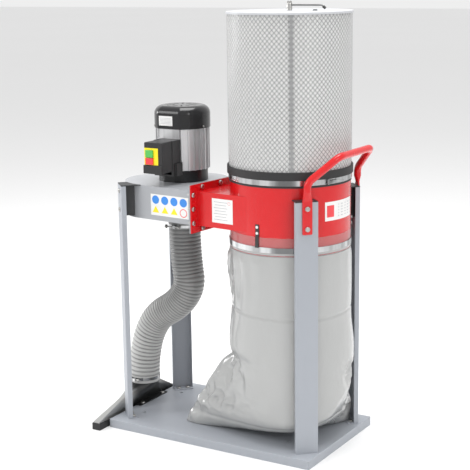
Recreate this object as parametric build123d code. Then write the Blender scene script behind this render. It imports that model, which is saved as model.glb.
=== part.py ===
"""Mobile single-stage dust collector: a fan on four legs blows into a drum with a
pleated filter cartridge above it and a plastic collecting bag below it.

Units are millimetres.  The origin is on the floor, at the centre of the base plate,
on the flat underside of the base stiffener.  +X points to the push-handle end,
+Y to the back and +Z up.
"""
from build123d import *
import math
import os

os.makedirs("parts", exist_ok=True)

# ---------------------------------------------------------------- base plate
BASE_LENGTH = 724.0
BASE_WIDTH = 428.0
BASE_HEIGHT = 27.5
BASE_SHEET = 2.0
BASE_CORNER_R = 3.0
BASE_END = BASE_LENGTH / 2
BASE_SIDE = BASE_WIDTH / 2
STIFFENER_WIDTH = 90.0
STIFFENER_LIP = 25.0
ANCHOR_X = (-BASE_END + 65.0, BASE_END - 126.0)
ANCHOR_Y = (-BASE_SIDE + 105.0, BASE_SIDE - 105.0)
ANCHOR_R = 4.5

# ---------------------------------------------------------------- legs
LEG_X = BASE_END - 32.0
LEG_Y = BASE_SIDE - 51.5
LEG_TURN = 45.0
LEG_TOP = 786.0
LEG_WEB = 68.0
LEG_DEPTH = 15.0
LEG_SHEET = 2.5
LEG_FOOT = 34.0
FOOT_BOLT_SPACING = 30.0
FOOT_BOLT_IN = 19.0
TOP_BOLT_Z = (LEG_TOP - 77.0, LEG_TOP - 18.0)
BOLT_R = 4.0
BOLT_HEAD_R = 7.5
BOLT_HEAD_H = 5.0
BOLT_CLEARANCE = 0.3

# ---------------------------------------------------------------- leg spacers
SPACER_WIDTH = LEG_WEB - 46.0
SPACER_BOTTOM = LEG_TOP - 96.0
SPACER_SHEET = 3.0
SPACER_CAP = 3.0
SPACER_CAP_WIDTH = LEG_WEB - 2.0
SEAT_GAP = 0.3

# ---------------------------------------------------------------- separator drum
DRUM_X = LEG_X - 143.0
DRUM_R = 182.5
DRUM_WALL = 1.5
DRUM_BOTTOM = LEG_TOP - 166.0
DRUM_TOP = LEG_TOP + 62.0

# ---------------------------------------------------------------- fan housing
FAN_X = 124.0 - LEG_X
FAN_Y = 14.0
FAN_TURN = -6.0
VOLUTE_FRONT = 161.0
VOLUTE_LEFT = 168.0
VOLUTE_BACK = 140.0
VOLUTE_RIGHT = 124.0
OUTLET_U = VOLUTE_RIGHT + 48.0
VOLUTE_STRAIGHT_END = -50.0
OUTLET_BACK = -5.0
HOUSING_HEIGHT = 105.0
HOUSING_TOP = LEG_TOP + 2.0
HOUSING_BOTTOM = HOUSING_TOP - HOUSING_HEIGHT
HOUSING_SHEET = 2.0
FLANGE_MARGIN = 21.0
FLANGE_SHEET = 3.0
GASKET = 1.5
DUCT_TANGENT = 29.5
DUCT_FRONT = DRUM_R - DUCT_TANGENT

# ---------------------------------------------------------------- inlet and hose
HOSE_R = 51.0
HOSE_WALL = 2.0
COLLAR_R = HOSE_R - HOSE_WALL - SEAT_GAP
COLLAR_WALL = 1.5
INLET_COLLAR_BOTTOM = HOUSING_BOTTOM - 61.0
HOSE_TOP = HOUSING_BOTTOM - 27.0
HOSE_BOTTOM = 97.0
CLAMP_WIDTH = 9.0
CLAMP_BAND = 1.2
TOP_CLAMP_Z = HOSE_TOP - 14.0
BOTTOM_CLAMP_Z = HOSE_BOTTOM + 15.0

# ---------------------------------------------------------------- floor nozzle
NOZZLE_X = -BASE_END - 9.0
MOUTH_OUTER_X = -BASE_END - 33.0
MOUTH_INNER_X = -BASE_END - 9.5
MOUTH_FRONT_Y = -BASE_SIDE - 41.0
MOUTH_BACK_Y = BASE_SIDE - 42.0
MOUTH_BOTTOM = 4.0
MOUTH_TOP = 26.0
NOZZLE_NECK = 94.0
NOZZLE_COLLAR_TOP = HOSE_BOTTOM + 39.0
NOZZLE_SHEET = 1.5
LIP_RUBBER = 3.0
LIP_TOP = MOUTH_TOP - 4.0
NOZZLE_FLANGE_X = -BASE_END + 20.0
NOZZLE_FLANGE_Y = (-67.0, 92.0)
NOZZLE_FLANGE_SHEET = 2.5
NOZZLE_BOLT_Y = (NOZZLE_FLANGE_Y[0] + 23.0, NOZZLE_FLANGE_Y[1] - 21.0)
NOZZLE_BOLT_X = NOZZLE_FLANGE_X - 9.0

# ---------------------------------------------------------------- filter
FILTER_R = DRUM_R + 2.3
FILTER_BOTTOM = DRUM_TOP + 2.0
FILTER_HEIGHT = 466.0
FILTER_TOP = FILTER_BOTTOM + FILTER_HEIGHT
MESH_SHEET = 1.0
PLEAT_OUTER = FILTER_R - MESH_SHEET - 0.6
PLEAT_DEPTH = 31.2
PLEAT_INNER = PLEAT_OUTER - PLEAT_DEPTH
PLEAT_COUNT = 72
PLEAT_THICKNESS = 3.0
CORE_R = PLEAT_INNER - PLEAT_THICKNESS - 0.5
CORE_WALL = 1.2
LID_R = FILTER_R + 2.2
LID_RIM = 7.0
LID_SHEET = 2.0
RING_SHEET = 4.0
BAND_R = FILTER_R + 4.2
BAND_TOP = FILTER_BOTTOM + 18.0
BAND_STEP = DRUM_TOP - 3.5
BAND_BOTTOM = DRUM_TOP - 21.0
BAND_SKIRT_R = DRUM_R + 1.5
CLAMP_TOP = BAND_STEP - 1.0
CLAMP_BOTTOM = BAND_BOTTOM + 1.0
STRAP_SHEET = 1.3
SEAL_TOP = BAND_BOTTOM - 0.5
SEAL_BOTTOM = SEAL_TOP - 5.0

# ---------------------------------------------------------------- cleaning crank
SHAFT_R = 5.0
SHAFT_FIT = 0.06
SHAFT_TOP = FILTER_TOP + 30.0
SHAFT_BOTTOM = FILTER_BOTTOM + 12.0
HUB_R = 8.0
HUB_HEIGHT = 22.0
ARM_LENGTH = 106.0
ARM_R = 2.6
ARM_Z = FILTER_TOP + 18.0
ARM_TIP_DROP = 4.0
ARM_TIP_LENGTH = 8.0
PADDLE_REACH = CORE_R - CORE_WALL - 6.8
PADDLE_HEIGHT = 60.0
PADDLE_SHEET = 2.0
PADDLE_COUNT = 3
PADDLE_PITCH = (FILTER_HEIGHT - 16.0) / PADDLE_COUNT

# ---------------------------------------------------------------- collecting bag
BAG_R = DRUM_R + 1.7
BAG_FILM = 0.9
BAG_LAP = 55.0
BAG_TOP = DRUM_BOTTOM + BAG_LAP
BAG_WAIST_R = BAG_R + 2.3
BAG_WAIST_Z = 300.0
BAG_FOOT_X = DRUM_X - 92.7
BAG_FOOT_Y = 14.0
BAG_FOOT_LONG = BAG_R + 51.8
BAG_FOOT_SHORT = 78.0
BAG_FOOT_TURN = 25.0
BAG_STRAP_TOP = DRUM_BOTTOM + 26.0
BAG_STRAP_BOTTOM = DRUM_BOTTOM + 10.0

# ---------------------------------------------------------------- latches
LATCH_PIN_R = 2.0
LATCH_FIT = 0.06
LATCH_LUG = 4.0
LATCH_LEVER = 44.0
LATCH_SHEET = 2.0
LATCH_STANDOFF = 4.2
FILTER_LATCH_TURN = -26.0
BAG_LATCH_TURN = 118.0

# ---------------------------------------------------------------- bag clips
CLIP_TURNS = (-93.0, 27.0, 147.0)
CLIP_WIDTH = 12.0
CLIP_SHEET = 1.6
CLIP_BOTTOM = BAG_TOP + 2.0
CLIP_TOP = CLIP_BOTTOM + 35.0
RIVET_R = 2.6
RIVET_Z = (CLIP_BOTTOM + 9.0, CLIP_TOP - 8.0)

# ---------------------------------------------------------------- push handle
HANDLE_TUBE_R = 11.0
HANDLE_CORNER_X = LEG_X + 73.0
HANDLE_CORNER_Y = LEG_Y - 56.5
HANDLE_CORNER_Z = LEG_TOP + 128.0
HANDLE_BEND_Z = LEG_TOP + 56.0
HANDLE_LOW_BEND_R = 35.0
HANDLE_CORNER_R = 34.0
HANDLE_TAB_WIDTH = 29.0
HANDLE_TAB_SHEET = 5.0
HANDLE_TAB_BOTTOM = LEG_TOP - 93.0
HANDLE_TAB_TOP = LEG_TOP + 4.0
HANDLE_NECK = 26.0

# ---------------------------------------------------------------- motor
BODY_R = 79.0
BODY_BORE = BODY_R - 11.0
PAD_DEPTH = BODY_R - 3.0
PAD_HALF = BODY_R * 0.481
MOTOR_FLANGE_R = BODY_R - 1.0
MOTOR_FLANGE_TOP = HOUSING_TOP + 38.0
MOTOR_FLANGE_WALL = 6.0
MOTOR_FOOT_SHEET = 8.0
BODY_TOP = MOTOR_FLANGE_TOP + 134.0
FIN_COUNT = 22
FIN_HEIGHT = 6.5
FIN_WIDTH = 4.0
FIN_START = -58.0
FIN_SWEEP = 296.0
COWL_R = BODY_R + FIN_HEIGHT + 2.5
COWL_BOTTOM = BODY_TOP - 4.0
COWL_TOP = BODY_TOP + 65.0
COWL_WALL = 2.0
COWL_ROUND = 26.0
COWL_FLAT = PAD_DEPTH + 3.0
SHIELD_SHEET = 9.0
SHAFT_MOTOR_R = 9.5
BEARING_R = 20.0
BEARING_WIDTH = 12.0
MOTOR_FIT = 0.04
STACK_BOTTOM = MOTOR_FLANGE_TOP + 22.0
STACK_TOP = BODY_TOP - 26.0
AIR_GAP = 0.5
ROTOR_R = BODY_BORE - 28.0
COOLING_FAN_R = COWL_R - 24.0
COOLING_FAN_Z = BODY_TOP + 16.0

# ---------------------------------------------------------------- impeller
IMPELLER_R = VOLUTE_RIGHT - 16.0
IMPELLER_PLATE_Z = HOUSING_TOP - 20.0
IMPELLER_BLADE = HOUSING_HEIGHT - 43.0
IMPELLER_BLADES = 8

# ---------------------------------------------------------------- switch box
BOX_RIGHT = 40.0
BOX_LEFT = -26.0
TERMINAL_DEPTH = 46.0
SWITCH_DEPTH = 54.0
SWITCH_BOTTOM = MOTOR_FLANGE_TOP + 4.0
SWITCH_TOP = SWITCH_BOTTOM + 96.0
TERMINAL_BOTTOM = MOTOR_FLANGE_TOP - 10.0
TERMINAL_SPREAD = 8.0
PLATE_WIDTH = 50.0
PLATE_HEIGHT = 54.0
PLATE_SHEET = 1.2
PLATE_Z = SWITCH_BOTTOM + 52.0
BUTTON_WIDTH = 27.0
BUTTON_MARGIN = 6.0
BUTTON_HEIGHTS = (22.0, 20.0)
BUTTON_CENTRES = (PLATE_Z + 9.5, PLATE_Z - 13.5)
BUTTON_DEPTH = 14.0
BUTTON_PROUD = 5.0
BUTTON_FIT = 0.4

HOSE_POINTS = (
    (FAN_X, FAN_Y, HOSE_TOP),
    (FAN_X, FAN_Y, HOSE_TOP - 106.0),
    (FAN_X + 24.0, FAN_Y - 2.0, HOSE_TOP - 251.0),
    (NOZZLE_X, 0.0, HOSE_BOTTOM + 195.0),
    (NOZZLE_X, 0.0, HOSE_BOTTOM),
)

pieces = {}


# ================================================================ helpers
def box(x0, x1, y0, y1, z0, z1):
    """A block between two corners."""
    return Pos((x0 + x1) / 2, (y0 + y1) / 2, (z0 + z1) / 2) * Box(x1 - x0, y1 - y0, z1 - z0)


def rod(radius, z0, z1, x=0.0, y=0.0):
    """An upright round bar."""
    return Pos(x, y, (z0 + z1) / 2) * Cylinder(radius, z1 - z0)


def tube(outer, inner, z0, z1, x=0.0, y=0.0):
    """An upright round tube."""
    return rod(outer, z0, z1, x, y) - rod(inner, z0 - 1, z1 + 1, x, y)


def cross_rod(radius, x0, x1, y, z):
    """A round bar along X."""
    return Pos((x0 + x1) / 2, y, z) * Rot(0, 90, 0) * Cylinder(radius, x1 - x0)


def keep(name, *solids):
    """Store one sub-part made of one or more separate solids."""
    found = [s for shape in solids for s in shape.solids()]
    pieces[name] = found[0] if len(found) == 1 else Compound(children=found)


def bolt_along_x(x_head, length, y, z):
    """A domed bolt whose head stands on the plane x = x_head and whose shank runs to -X."""
    head = Pos(x_head, y, z) * Rot(0, 90, 0) * Cylinder(
        BOLT_HEAD_R, BOLT_HEAD_H, align=(Align.CENTER, Align.CENTER, Align.MIN))
    head = fillet(head.edges().sort_by(Axis.X)[-1], BOLT_HEAD_H * 0.6)
    return head + cross_rod(BOLT_R, x_head - length, x_head, y, z)


def bolt_down(x, y, z_face, length):
    """A domed bolt standing on a level face, with its shank pointing down."""
    head = Pos(x, y, z_face) * Cylinder(
        BOLT_HEAD_R, BOLT_HEAD_H, align=(Align.CENTER, Align.CENTER, Align.MIN))
    head = fillet(head.edges().sort_by(Axis.Z)[-1], BOLT_HEAD_H * 0.6)
    return head + rod(BOLT_R, z_face - length, z_face, x, y)


# ================================================================ base
def leg_places():
    """Name and placement of each leg: local +X is the outside of the web."""
    return {
        "front_right": Pos(LEG_X, -LEG_Y, 0) * Rot(0, 0, -LEG_TURN),
        "back_right": Pos(LEG_X, LEG_Y, 0) * Rot(0, 0, LEG_TURN),
        "front_left": Pos(-LEG_X, -LEG_Y, 0) * Rot(0, 0, LEG_TURN - 180),
        "back_left": Pos(-LEG_X, LEG_Y, 0) * Rot(0, 0, 180 - LEG_TURN),
    }


def foot_bolt_offsets():
    return [(-FOOT_BOLT_IN, side * FOOT_BOLT_SPACING / 2) for side in (-1, 1)]


def make_base():
    tray = box(-BASE_END, BASE_END, -BASE_SIDE, BASE_SIDE, 0, BASE_HEIGHT)
    tray = fillet(tray.edges().filter_by(Axis.Z), BASE_CORNER_R)
    top_edges = tray.faces().sort_by(Axis.Z)[-1].edges()
    tray = fillet(top_edges, BASE_SHEET * 0.9)
    tray -= box(-BASE_END + BASE_SHEET, BASE_END - BASE_SHEET, -BASE_SIDE + BASE_SHEET,
                BASE_SIDE - BASE_SHEET, -1, BASE_HEIGHT - BASE_SHEET)
    for x in ANCHOR_X:
        for y in ANCHOR_Y:
            tray -= rod(ANCHOR_R, 0, BASE_HEIGHT + 1, x, y)
    for place in leg_places().values():
        for x, y in foot_bolt_offsets():
            tray -= place * rod(BOLT_R + BOLT_CLEARANCE, 0, BASE_HEIGHT + 1, x, y)
    for y in NOZZLE_BOLT_Y:
        tray -= rod(BOLT_R + BOLT_CLEARANCE, 0, BASE_HEIGHT + 1, NOZZLE_BOLT_X, y)
    keep("base_plate", tray)

    inner_y = BASE_SIDE - BASE_SHEET
    top = BASE_HEIGHT - BASE_SHEET
    hat = box(-STIFFENER_WIDTH / 2, STIFFENER_WIDTH / 2, -inner_y, inner_y, 0, top)
    inner_x = STIFFENER_WIDTH / 2 - BASE_SHEET
    hat -= box(-inner_x, inner_x, -inner_y - 1, inner_y + 1, BASE_SHEET, top + 1)
    for side in (-1, 1):
        edge = side * STIFFENER_WIDTH / 2
        lip = sorted((edge, edge + side * STIFFENER_LIP))
        hat += box(lip[0], lip[1], -inner_y, inner_y, top - BASE_SHEET, top)
    keep("base_stiffener", hat)


# ================================================================ legs
def leg_blank():
    half = LEG_WEB / 2
    leg = box(-LEG_SHEET, 0, -half, half, BASE_HEIGHT, LEG_TOP)
    for side in (-1, 1):
        y = sorted((side * half, side * (half - LEG_SHEET)))
        leg += box(-LEG_DEPTH, 0, y[0], y[1], BASE_HEIGHT, LEG_TOP)
    leg = fillet(leg.edges().filter_by(Axis.Z).sort_by(Axis.X)[-2:], LEG_SHEET * 0.8)
    leg += box(-LEG_FOOT, -LEG_SHEET, -half + LEG_SHEET, half - LEG_SHEET,
               BASE_HEIGHT, BASE_HEIGHT + LEG_SHEET)
    for z in TOP_BOLT_Z:
        leg -= cross_rod(BOLT_R + BOLT_CLEARANCE, -LEG_SHEET - 1, 1, 0, z)
    for x, y in foot_bolt_offsets():
        leg -= rod(BOLT_R + BOLT_CLEARANCE, BASE_HEIGHT - 1, BASE_HEIGHT + LEG_SHEET + 1, x, y)
    return leg


def spacer_blank(reach):
    """An open box bracket from the inside of a web inwards, with a cap over the leg's end."""
    inner = -LEG_SHEET
    half = SPACER_WIDTH / 2
    spacer = box(-reach, inner, -half, half, SPACER_BOTTOM, LEG_TOP)
    spacer -= box(-reach - 1, inner - SPACER_SHEET, -half + SPACER_SHEET, half - SPACER_SHEET,
                  SPACER_BOTTOM - 1, LEG_TOP - SPACER_CAP)
    cap_half = SPACER_CAP_WIDTH / 2
    spacer += box(-reach, -0.5, -cap_half, cap_half, LEG_TOP, LEG_TOP + SPACER_CAP)
    for z in TOP_BOLT_Z:
        spacer -= cross_rod(BOLT_R + BOLT_CLEARANCE, inner - SPACER_SHEET - 1, inner + 1, 0, z)
    return spacer


def make_legs():
    """The four legs with their spacers and foot bolts; gives back the left legs' top bolts."""
    right_reach = math.hypot(LEG_X - DRUM_X, LEG_Y) - DRUM_R * 0.8
    left_reach = math.hypot(LEG_X + FAN_X, LEG_Y + abs(FAN_Y)) - VOLUTE_BACK * 0.8
    drum_keep_out = rod(DRUM_R + SEAT_GAP, 0, FILTER_TOP, DRUM_X, 0)
    housing_keep_out = fan_place() * extrude(volute_face(-SEAT_GAP), amount=HOUSING_TOP + 50)
    spacers = []
    foot_bolts = []
    top_bolts = []
    for name, place in leg_places().items():
        keep("leg_" + name, place * leg_blank())
        right = name.endswith("right")
        reach = right_reach if right else left_reach
        spacer = place * spacer_blank(reach)
        spacer -= drum_keep_out if right else housing_keep_out
        spacers.append(max(spacer.solids(), key=lambda s: s.volume))
        for x, y in foot_bolt_offsets():
            foot_bolts.append(place * bolt_down(x, y, BASE_HEIGHT + LEG_SHEET, 20.0))
        if not right:
            for z in TOP_BOLT_Z:
                top_bolts.append(place * bolt_along_x(0.0, 16.0, 0.0, z))
    keep("leg_spacers", *spacers)
    keep("leg_foot_bolts", *foot_bolts)
    return top_bolts


# ================================================================ push handle
def handle_side(side):
    """One bolted tab at a right-hand leg: side is -1 at the front and 1 at the back."""
    place = Pos(LEG_X, side * LEG_Y, 0) * Rot(0, 0, side * LEG_TURN)
    half = HANDLE_TAB_WIDTH / 2
    tab = box(0, HANDLE_TAB_SHEET, -half, half, HANDLE_TAB_BOTTOM, HANDLE_TAB_TOP)
    corners = tab.edges().filter_by(Axis.X).sort_by(Axis.Z)[:2]
    tab = fillet(corners, 3.0)
    for z in TOP_BOLT_Z:
        tab -= cross_rod(BOLT_R + BOLT_CLEARANCE, -1, HANDLE_TAB_SHEET + 1, 0, z)
    neck_bottom = Pos(HANDLE_TAB_SHEET / 2, 0, HANDLE_TAB_TOP) * Rectangle(
        HANDLE_TAB_SHEET, HANDLE_TAB_WIDTH)
    neck_top = Pos(HANDLE_TAB_SHEET / 2, 0, HANDLE_TAB_TOP + HANDLE_NECK) * Circle(HANDLE_TUBE_R)
    neck = loft([neck_bottom, neck_top])
    bolts = [place * bolt_along_x(HANDLE_TAB_SHEET, 20.0, 0.0, z) for z in TOP_BOLT_Z]
    return place * (tab + neck), bolts


def make_handle(left_leg_bolts):
    """The bent tube between the right-hand legs, and the bolts at the tops of all four legs."""
    start = {}
    for side in (-1, 1):
        place = Pos(LEG_X, side * LEG_Y, 0) * Rot(0, 0, side * LEG_TURN)
        start[side] = (place * Pos(HANDLE_TAB_SHEET / 2, 0, HANDLE_TAB_TOP + HANDLE_NECK)).position
    points = [
        start[-1],
        Vector(start[-1].X, start[-1].Y, HANDLE_BEND_Z),
        Vector(HANDLE_CORNER_X, -HANDLE_CORNER_Y, HANDLE_CORNER_Z),
        Vector(HANDLE_CORNER_X, HANDLE_CORNER_Y, HANDLE_CORNER_Z),
        Vector(start[1].X, start[1].Y, HANDLE_BEND_Z),
        start[1],
    ]
    radii = [HANDLE_LOW_BEND_R, HANDLE_CORNER_R, HANDLE_CORNER_R, HANDLE_LOW_BEND_R]
    path = FilletPolyline(*points, radius=radii)
    section = Plane(origin=path @ 0, z_dir=path % 0) * Circle(HANDLE_TUBE_R)
    bar = sweep(section, path=path)
    front, front_bolts = handle_side(-1)
    back, back_bolts = handle_side(1)
    keep("push_handle", bar + front + back)
    keep("leg_top_bolts", *front_bolts, *back_bolts, *left_leg_bolts)


# ================================================================ fan housing
def fan_place():
    return Pos(FAN_X, FAN_Y, 0) * Rot(0, 0, FAN_TURN)


def volute_face(inset=0.0):
    """The fan housing's outline around the fan axis, outlet towards +X, moved in by inset."""
    front_v = -VOLUTE_FRONT + inset
    left_u = -VOLUTE_LEFT + inset
    back_v = VOLUTE_BACK - inset
    right_u = VOLUTE_RIGHT - inset
    tongue_v = OUTLET_BACK - inset
    front = Line((OUTLET_U, front_v), (VOLUTE_STRAIGHT_END, front_v))
    left = TangentArc((VOLUTE_STRAIGHT_END, front_v), (left_u, 0), tangent=(-1, 0))
    back = TangentArc((left_u, 0), (0, back_v), tangent=left % 1)
    right = TangentArc((0, back_v), (right_u, tongue_v), tangent=back % 1)
    tongue = Line((right_u, tongue_v), (OUTLET_U, tongue_v))
    mouth = Line((OUTLET_U, tongue_v), (OUTLET_U, front_v))
    return make_face([front, left, back, right, tongue, mouth])


def outlet_block(u0, u1, grow, front):
    """A block along the outlet, grown on all four sides of its clear opening."""
    return box(u0, u1, -front + HOUSING_SHEET - grow, OUTLET_BACK - HOUSING_SHEET + grow,
               HOUSING_BOTTOM + HOUSING_SHEET - grow, HOUSING_TOP - HOUSING_SHEET + grow)


def flange_bolt_places():
    """Offsets across the outlet flange: (v, z) of each bolt."""
    inset = HOUSING_SHEET + FLANGE_MARGIN / 2
    low_v = -VOLUTE_FRONT - inset + HOUSING_SHEET
    high_v = OUTLET_BACK + inset - HOUSING_SHEET
    low_z = HOUSING_BOTTOM - FLANGE_MARGIN / 2
    high_z = HOUSING_TOP + FLANGE_MARGIN / 2
    mid_v = (low_v + high_v) / 2
    mid_z = (low_z + high_z) / 2
    return [(low_v, high_z - 20), (low_v, low_z + 20), (high_v, high_z - 20), (high_v, low_z + 20),
            (low_v, mid_z), (high_v, mid_z), (mid_v - 45, high_z), (mid_v + 45, high_z),
            (mid_v - 45, low_z), (mid_v + 45, low_z)]


def make_housing():
    outline = volute_face()
    inside = volute_face(HOUSING_SHEET)
    wall_z = HOUSING_BOTTOM + HOUSING_SHEET
    shell = Pos(0, 0, wall_z) * extrude(outline, amount=HOUSING_TOP - wall_z)
    shell -= Pos(0, 0, wall_z - 1) * extrude(inside, amount=HOUSING_TOP - HOUSING_SHEET - wall_z + 1)
    shell -= outlet_block(OUTLET_U - 6, OUTLET_U + 1, 0, VOLUTE_FRONT)
    shell -= rod(MOTOR_FLANGE_R * 0.45, HOUSING_TOP - 10, HOUSING_TOP + 1)
    flange = outlet_block(OUTLET_U - FLANGE_SHEET, OUTLET_U, FLANGE_MARGIN + HOUSING_SHEET,
                          VOLUTE_FRONT)
    flange -= outlet_block(OUTLET_U - FLANGE_SHEET - 1, OUTLET_U + 1, 0, VOLUTE_FRONT)
    flange -= Pos(0, 0, HOUSING_BOTTOM) * extrude(outline, amount=HOUSING_SHEET)
    shell += flange
    for v, z in flange_bolt_places():
        shell -= cross_rod(BOLT_R + BOLT_CLEARANCE, OUTLET_U - 10, OUTLET_U + 2, v, z)
    for x, y in motor_bolt_places():
        hole = rod(BOLT_R + BOLT_CLEARANCE, HOUSING_TOP - 10, HOUSING_TOP + 1, x, y)
        shell -= Rot(0, 0, -FAN_TURN) * hole
    keep("fan_housing", fan_place() * shell)

    floor = Pos(0, 0, HOUSING_BOTTOM) * extrude(outline, amount=HOUSING_SHEET)
    floor -= rod(COLLAR_R, HOUSING_BOTTOM - 1, wall_z + 1)
    keep("housing_floor", fan_place() * floor)

    collar = tube(COLLAR_R, COLLAR_R - COLLAR_WALL, INLET_COLLAR_BOTTOM, wall_z)
    collar += tube(COLLAR_R + 12, COLLAR_R - COLLAR_WALL, HOUSING_BOTTOM - HOUSING_SHEET,
                   HOUSING_BOTTOM)
    keep("inlet_collar", fan_place() * collar)


def motor_bolt_places():
    reach = MOTOR_FLANGE_R - 12
    turns = [math.radians(45 + 90 * i) for i in range(4)]
    return [(reach * math.cos(t), reach * math.sin(t)) for t in turns]


# ================================================================ drum and duct
def make_drum():
    face = OUTLET_U + GASKET
    drum_in_fan = fan_place().inverse() * rod(DRUM_R - DRUM_WALL, 0, FILTER_TOP, DRUM_X, 0)
    duct_far = math.hypot(DRUM_X - FAN_X, FAN_Y)
    duct = outlet_block(face, duct_far, HOUSING_SHEET, DUCT_FRONT)
    flange = outlet_block(face, face + FLANGE_SHEET, FLANGE_MARGIN + HOUSING_SHEET, VOLUTE_FRONT)
    duct = (duct + flange) - drum_in_fan
    channel = outlet_block(face - 1, duct_far, 0, DUCT_FRONT)
    for v, z in flange_bolt_places():
        duct -= cross_rod(BOLT_R + BOLT_CLEARANCE, face - 1, face + FLANGE_SHEET + 1, v, z)
    duct = max((duct - channel).solids(), key=lambda s: s.volume)
    shell = tube(DRUM_R, DRUM_R - DRUM_WALL, DRUM_BOTTOM, DRUM_TOP, DRUM_X, 0)
    for z in (DRUM_BOTTOM + 3, DRUM_TOP - 5):
        shell += tube(DRUM_R, DRUM_R - 2.5 * DRUM_WALL, z - 2, z + 2, DRUM_X, 0)
    shell -= fan_place() * channel
    drum = shell + fan_place() * duct
    for turn in CLIP_TURNS:
        for z in RIVET_Z:
            drum -= at_drum(turn) * cross_rod(RIVET_R, DRUM_R - 9, DRUM_R + 1, 0, z)
    keep("separator_drum", drum)

    gasket = outlet_block(OUTLET_U, face, FLANGE_MARGIN - 1, VOLUTE_FRONT)
    gasket -= outlet_block(OUTLET_U - 1, face + 1, 0, VOLUTE_FRONT)
    for v, z in flange_bolt_places():
        gasket -= cross_rod(BOLT_R + BOLT_CLEARANCE, OUTLET_U - 1, face + 1, v, z)
    keep("duct_gasket", fan_place() * gasket)

    bolts = []
    for v, z in flange_bolt_places():
        bolts.append(fan_place() * bolt_along_x(face + FLANGE_SHEET, 18.0, v, z))
    keep("duct_bolts", *bolts)


def at_drum(turn):
    """Placement with local +X pointing out of the drum at an angle from +X."""
    return Pos(DRUM_X, 0, 0) * Rot(0, 0, turn)


def make_clips():
    clips = []
    rivets = []
    for turn in CLIP_TURNS:
        clip = tube(DRUM_R + SEAT_GAP + CLIP_SHEET, DRUM_R + SEAT_GAP, CLIP_BOTTOM, CLIP_TOP)
        clip &= box(0, DRUM_R * 2, -CLIP_WIDTH / 2, CLIP_WIDTH / 2, CLIP_BOTTOM, CLIP_TOP)
        for z in RIVET_Z:
            clip -= cross_rod(RIVET_R + 0.1, DRUM_R - 5, DRUM_R + 5, 0, z)
            head_x = DRUM_R + SEAT_GAP + CLIP_SHEET
            rivet = cross_rod(RIVET_R - 0.1, DRUM_R - DRUM_WALL - 0.5, head_x, 0, z)
            rivet += cross_rod(RIVET_R * 1.6, head_x, head_x + 1.6, 0, z)
            rivets.append(at_drum(turn) * rivet)
        clips.append(at_drum(turn) * clip)
    keep("bag_clips", *clips)
    keep("clip_rivets", *rivets)


# ================================================================ filter cartridge
def pleat_star(shrink):
    points = []
    for i in range(2 * PLEAT_COUNT):
        radius = (PLEAT_OUTER if i % 2 == 0 else PLEAT_INNER) - shrink
        turn = math.pi * i / PLEAT_COUNT
        points.append((radius * math.cos(turn), radius * math.sin(turn)))
    return make_face(Polyline(*points, close=True))


def make_filter():
    here = Pos(DRUM_X, 0, 0)
    lid_under = FILTER_TOP
    ring_top = FILTER_BOTTOM + RING_SHEET
    mesh = tube(FILTER_R, FILTER_R - MESH_SHEET, ring_top, lid_under)
    keep("filter_mesh", here * mesh)
    height = lid_under - ring_top
    star = extrude(pleat_star(0), amount=height) - extrude(pleat_star(PLEAT_THICKNESS), amount=height)
    keep("filter_pleats", here * Pos(0, 0, ring_top) * star)
    core = tube(CORE_R, CORE_R - CORE_WALL, ring_top, lid_under)
    keep("filter_core", here * core)

    ring = tube(FILTER_R, CORE_R - 6, FILTER_BOTTOM, ring_top)
    spider = box(-CORE_R, CORE_R, -6, 6, FILTER_BOTTOM, ring_top)
    spider += box(-6, 6, -CORE_R, CORE_R, FILTER_BOTTOM, ring_top)
    spider += rod(14, FILTER_BOTTOM, ring_top + 12)
    ring = ring + spider - rod(SHAFT_R + SHAFT_FIT, SHAFT_BOTTOM - 0.5, FILTER_TOP)
    keep("filter_bottom_ring", here * ring)

    lid = rod(LID_R, lid_under, lid_under + LID_SHEET)
    lid = fillet(lid.edges().sort_by(Axis.Z)[-1], LID_SHEET * 0.8)
    lid += tube(LID_R, FILTER_R + SEAT_GAP, lid_under + LID_SHEET - LID_RIM, lid_under)
    lid += rod(14, lid_under - 8, lid_under)
    lid -= rod(SHAFT_R + SHAFT_FIT, lid_under - 20, lid_under + 20)
    keep("filter_lid", here * lid)

    band = tube(BAND_R, FILTER_R + SEAT_GAP, BAND_STEP, BAND_TOP)
    band = fillet(band.edges().group_by(Axis.Z)[-1].sort_by(SortBy.RADIUS)[-1], 1.5)
    band += tube(BAND_SKIRT_R, DRUM_R + 0.1, BAND_BOTTOM, BAND_STEP)
    band += tube(BAND_R, DRUM_R + 0.1, BAND_STEP, FILTER_BOTTOM)
    band -= tube(FILTER_R + SEAT_GAP, 0.1, FILTER_BOTTOM, BAND_TOP + 1)
    keep("filter_band", here * band)
    keep("drum_seal", here * tube(BAND_SKIRT_R, DRUM_R + 0.1, SEAL_BOTTOM, SEAL_TOP))


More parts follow.
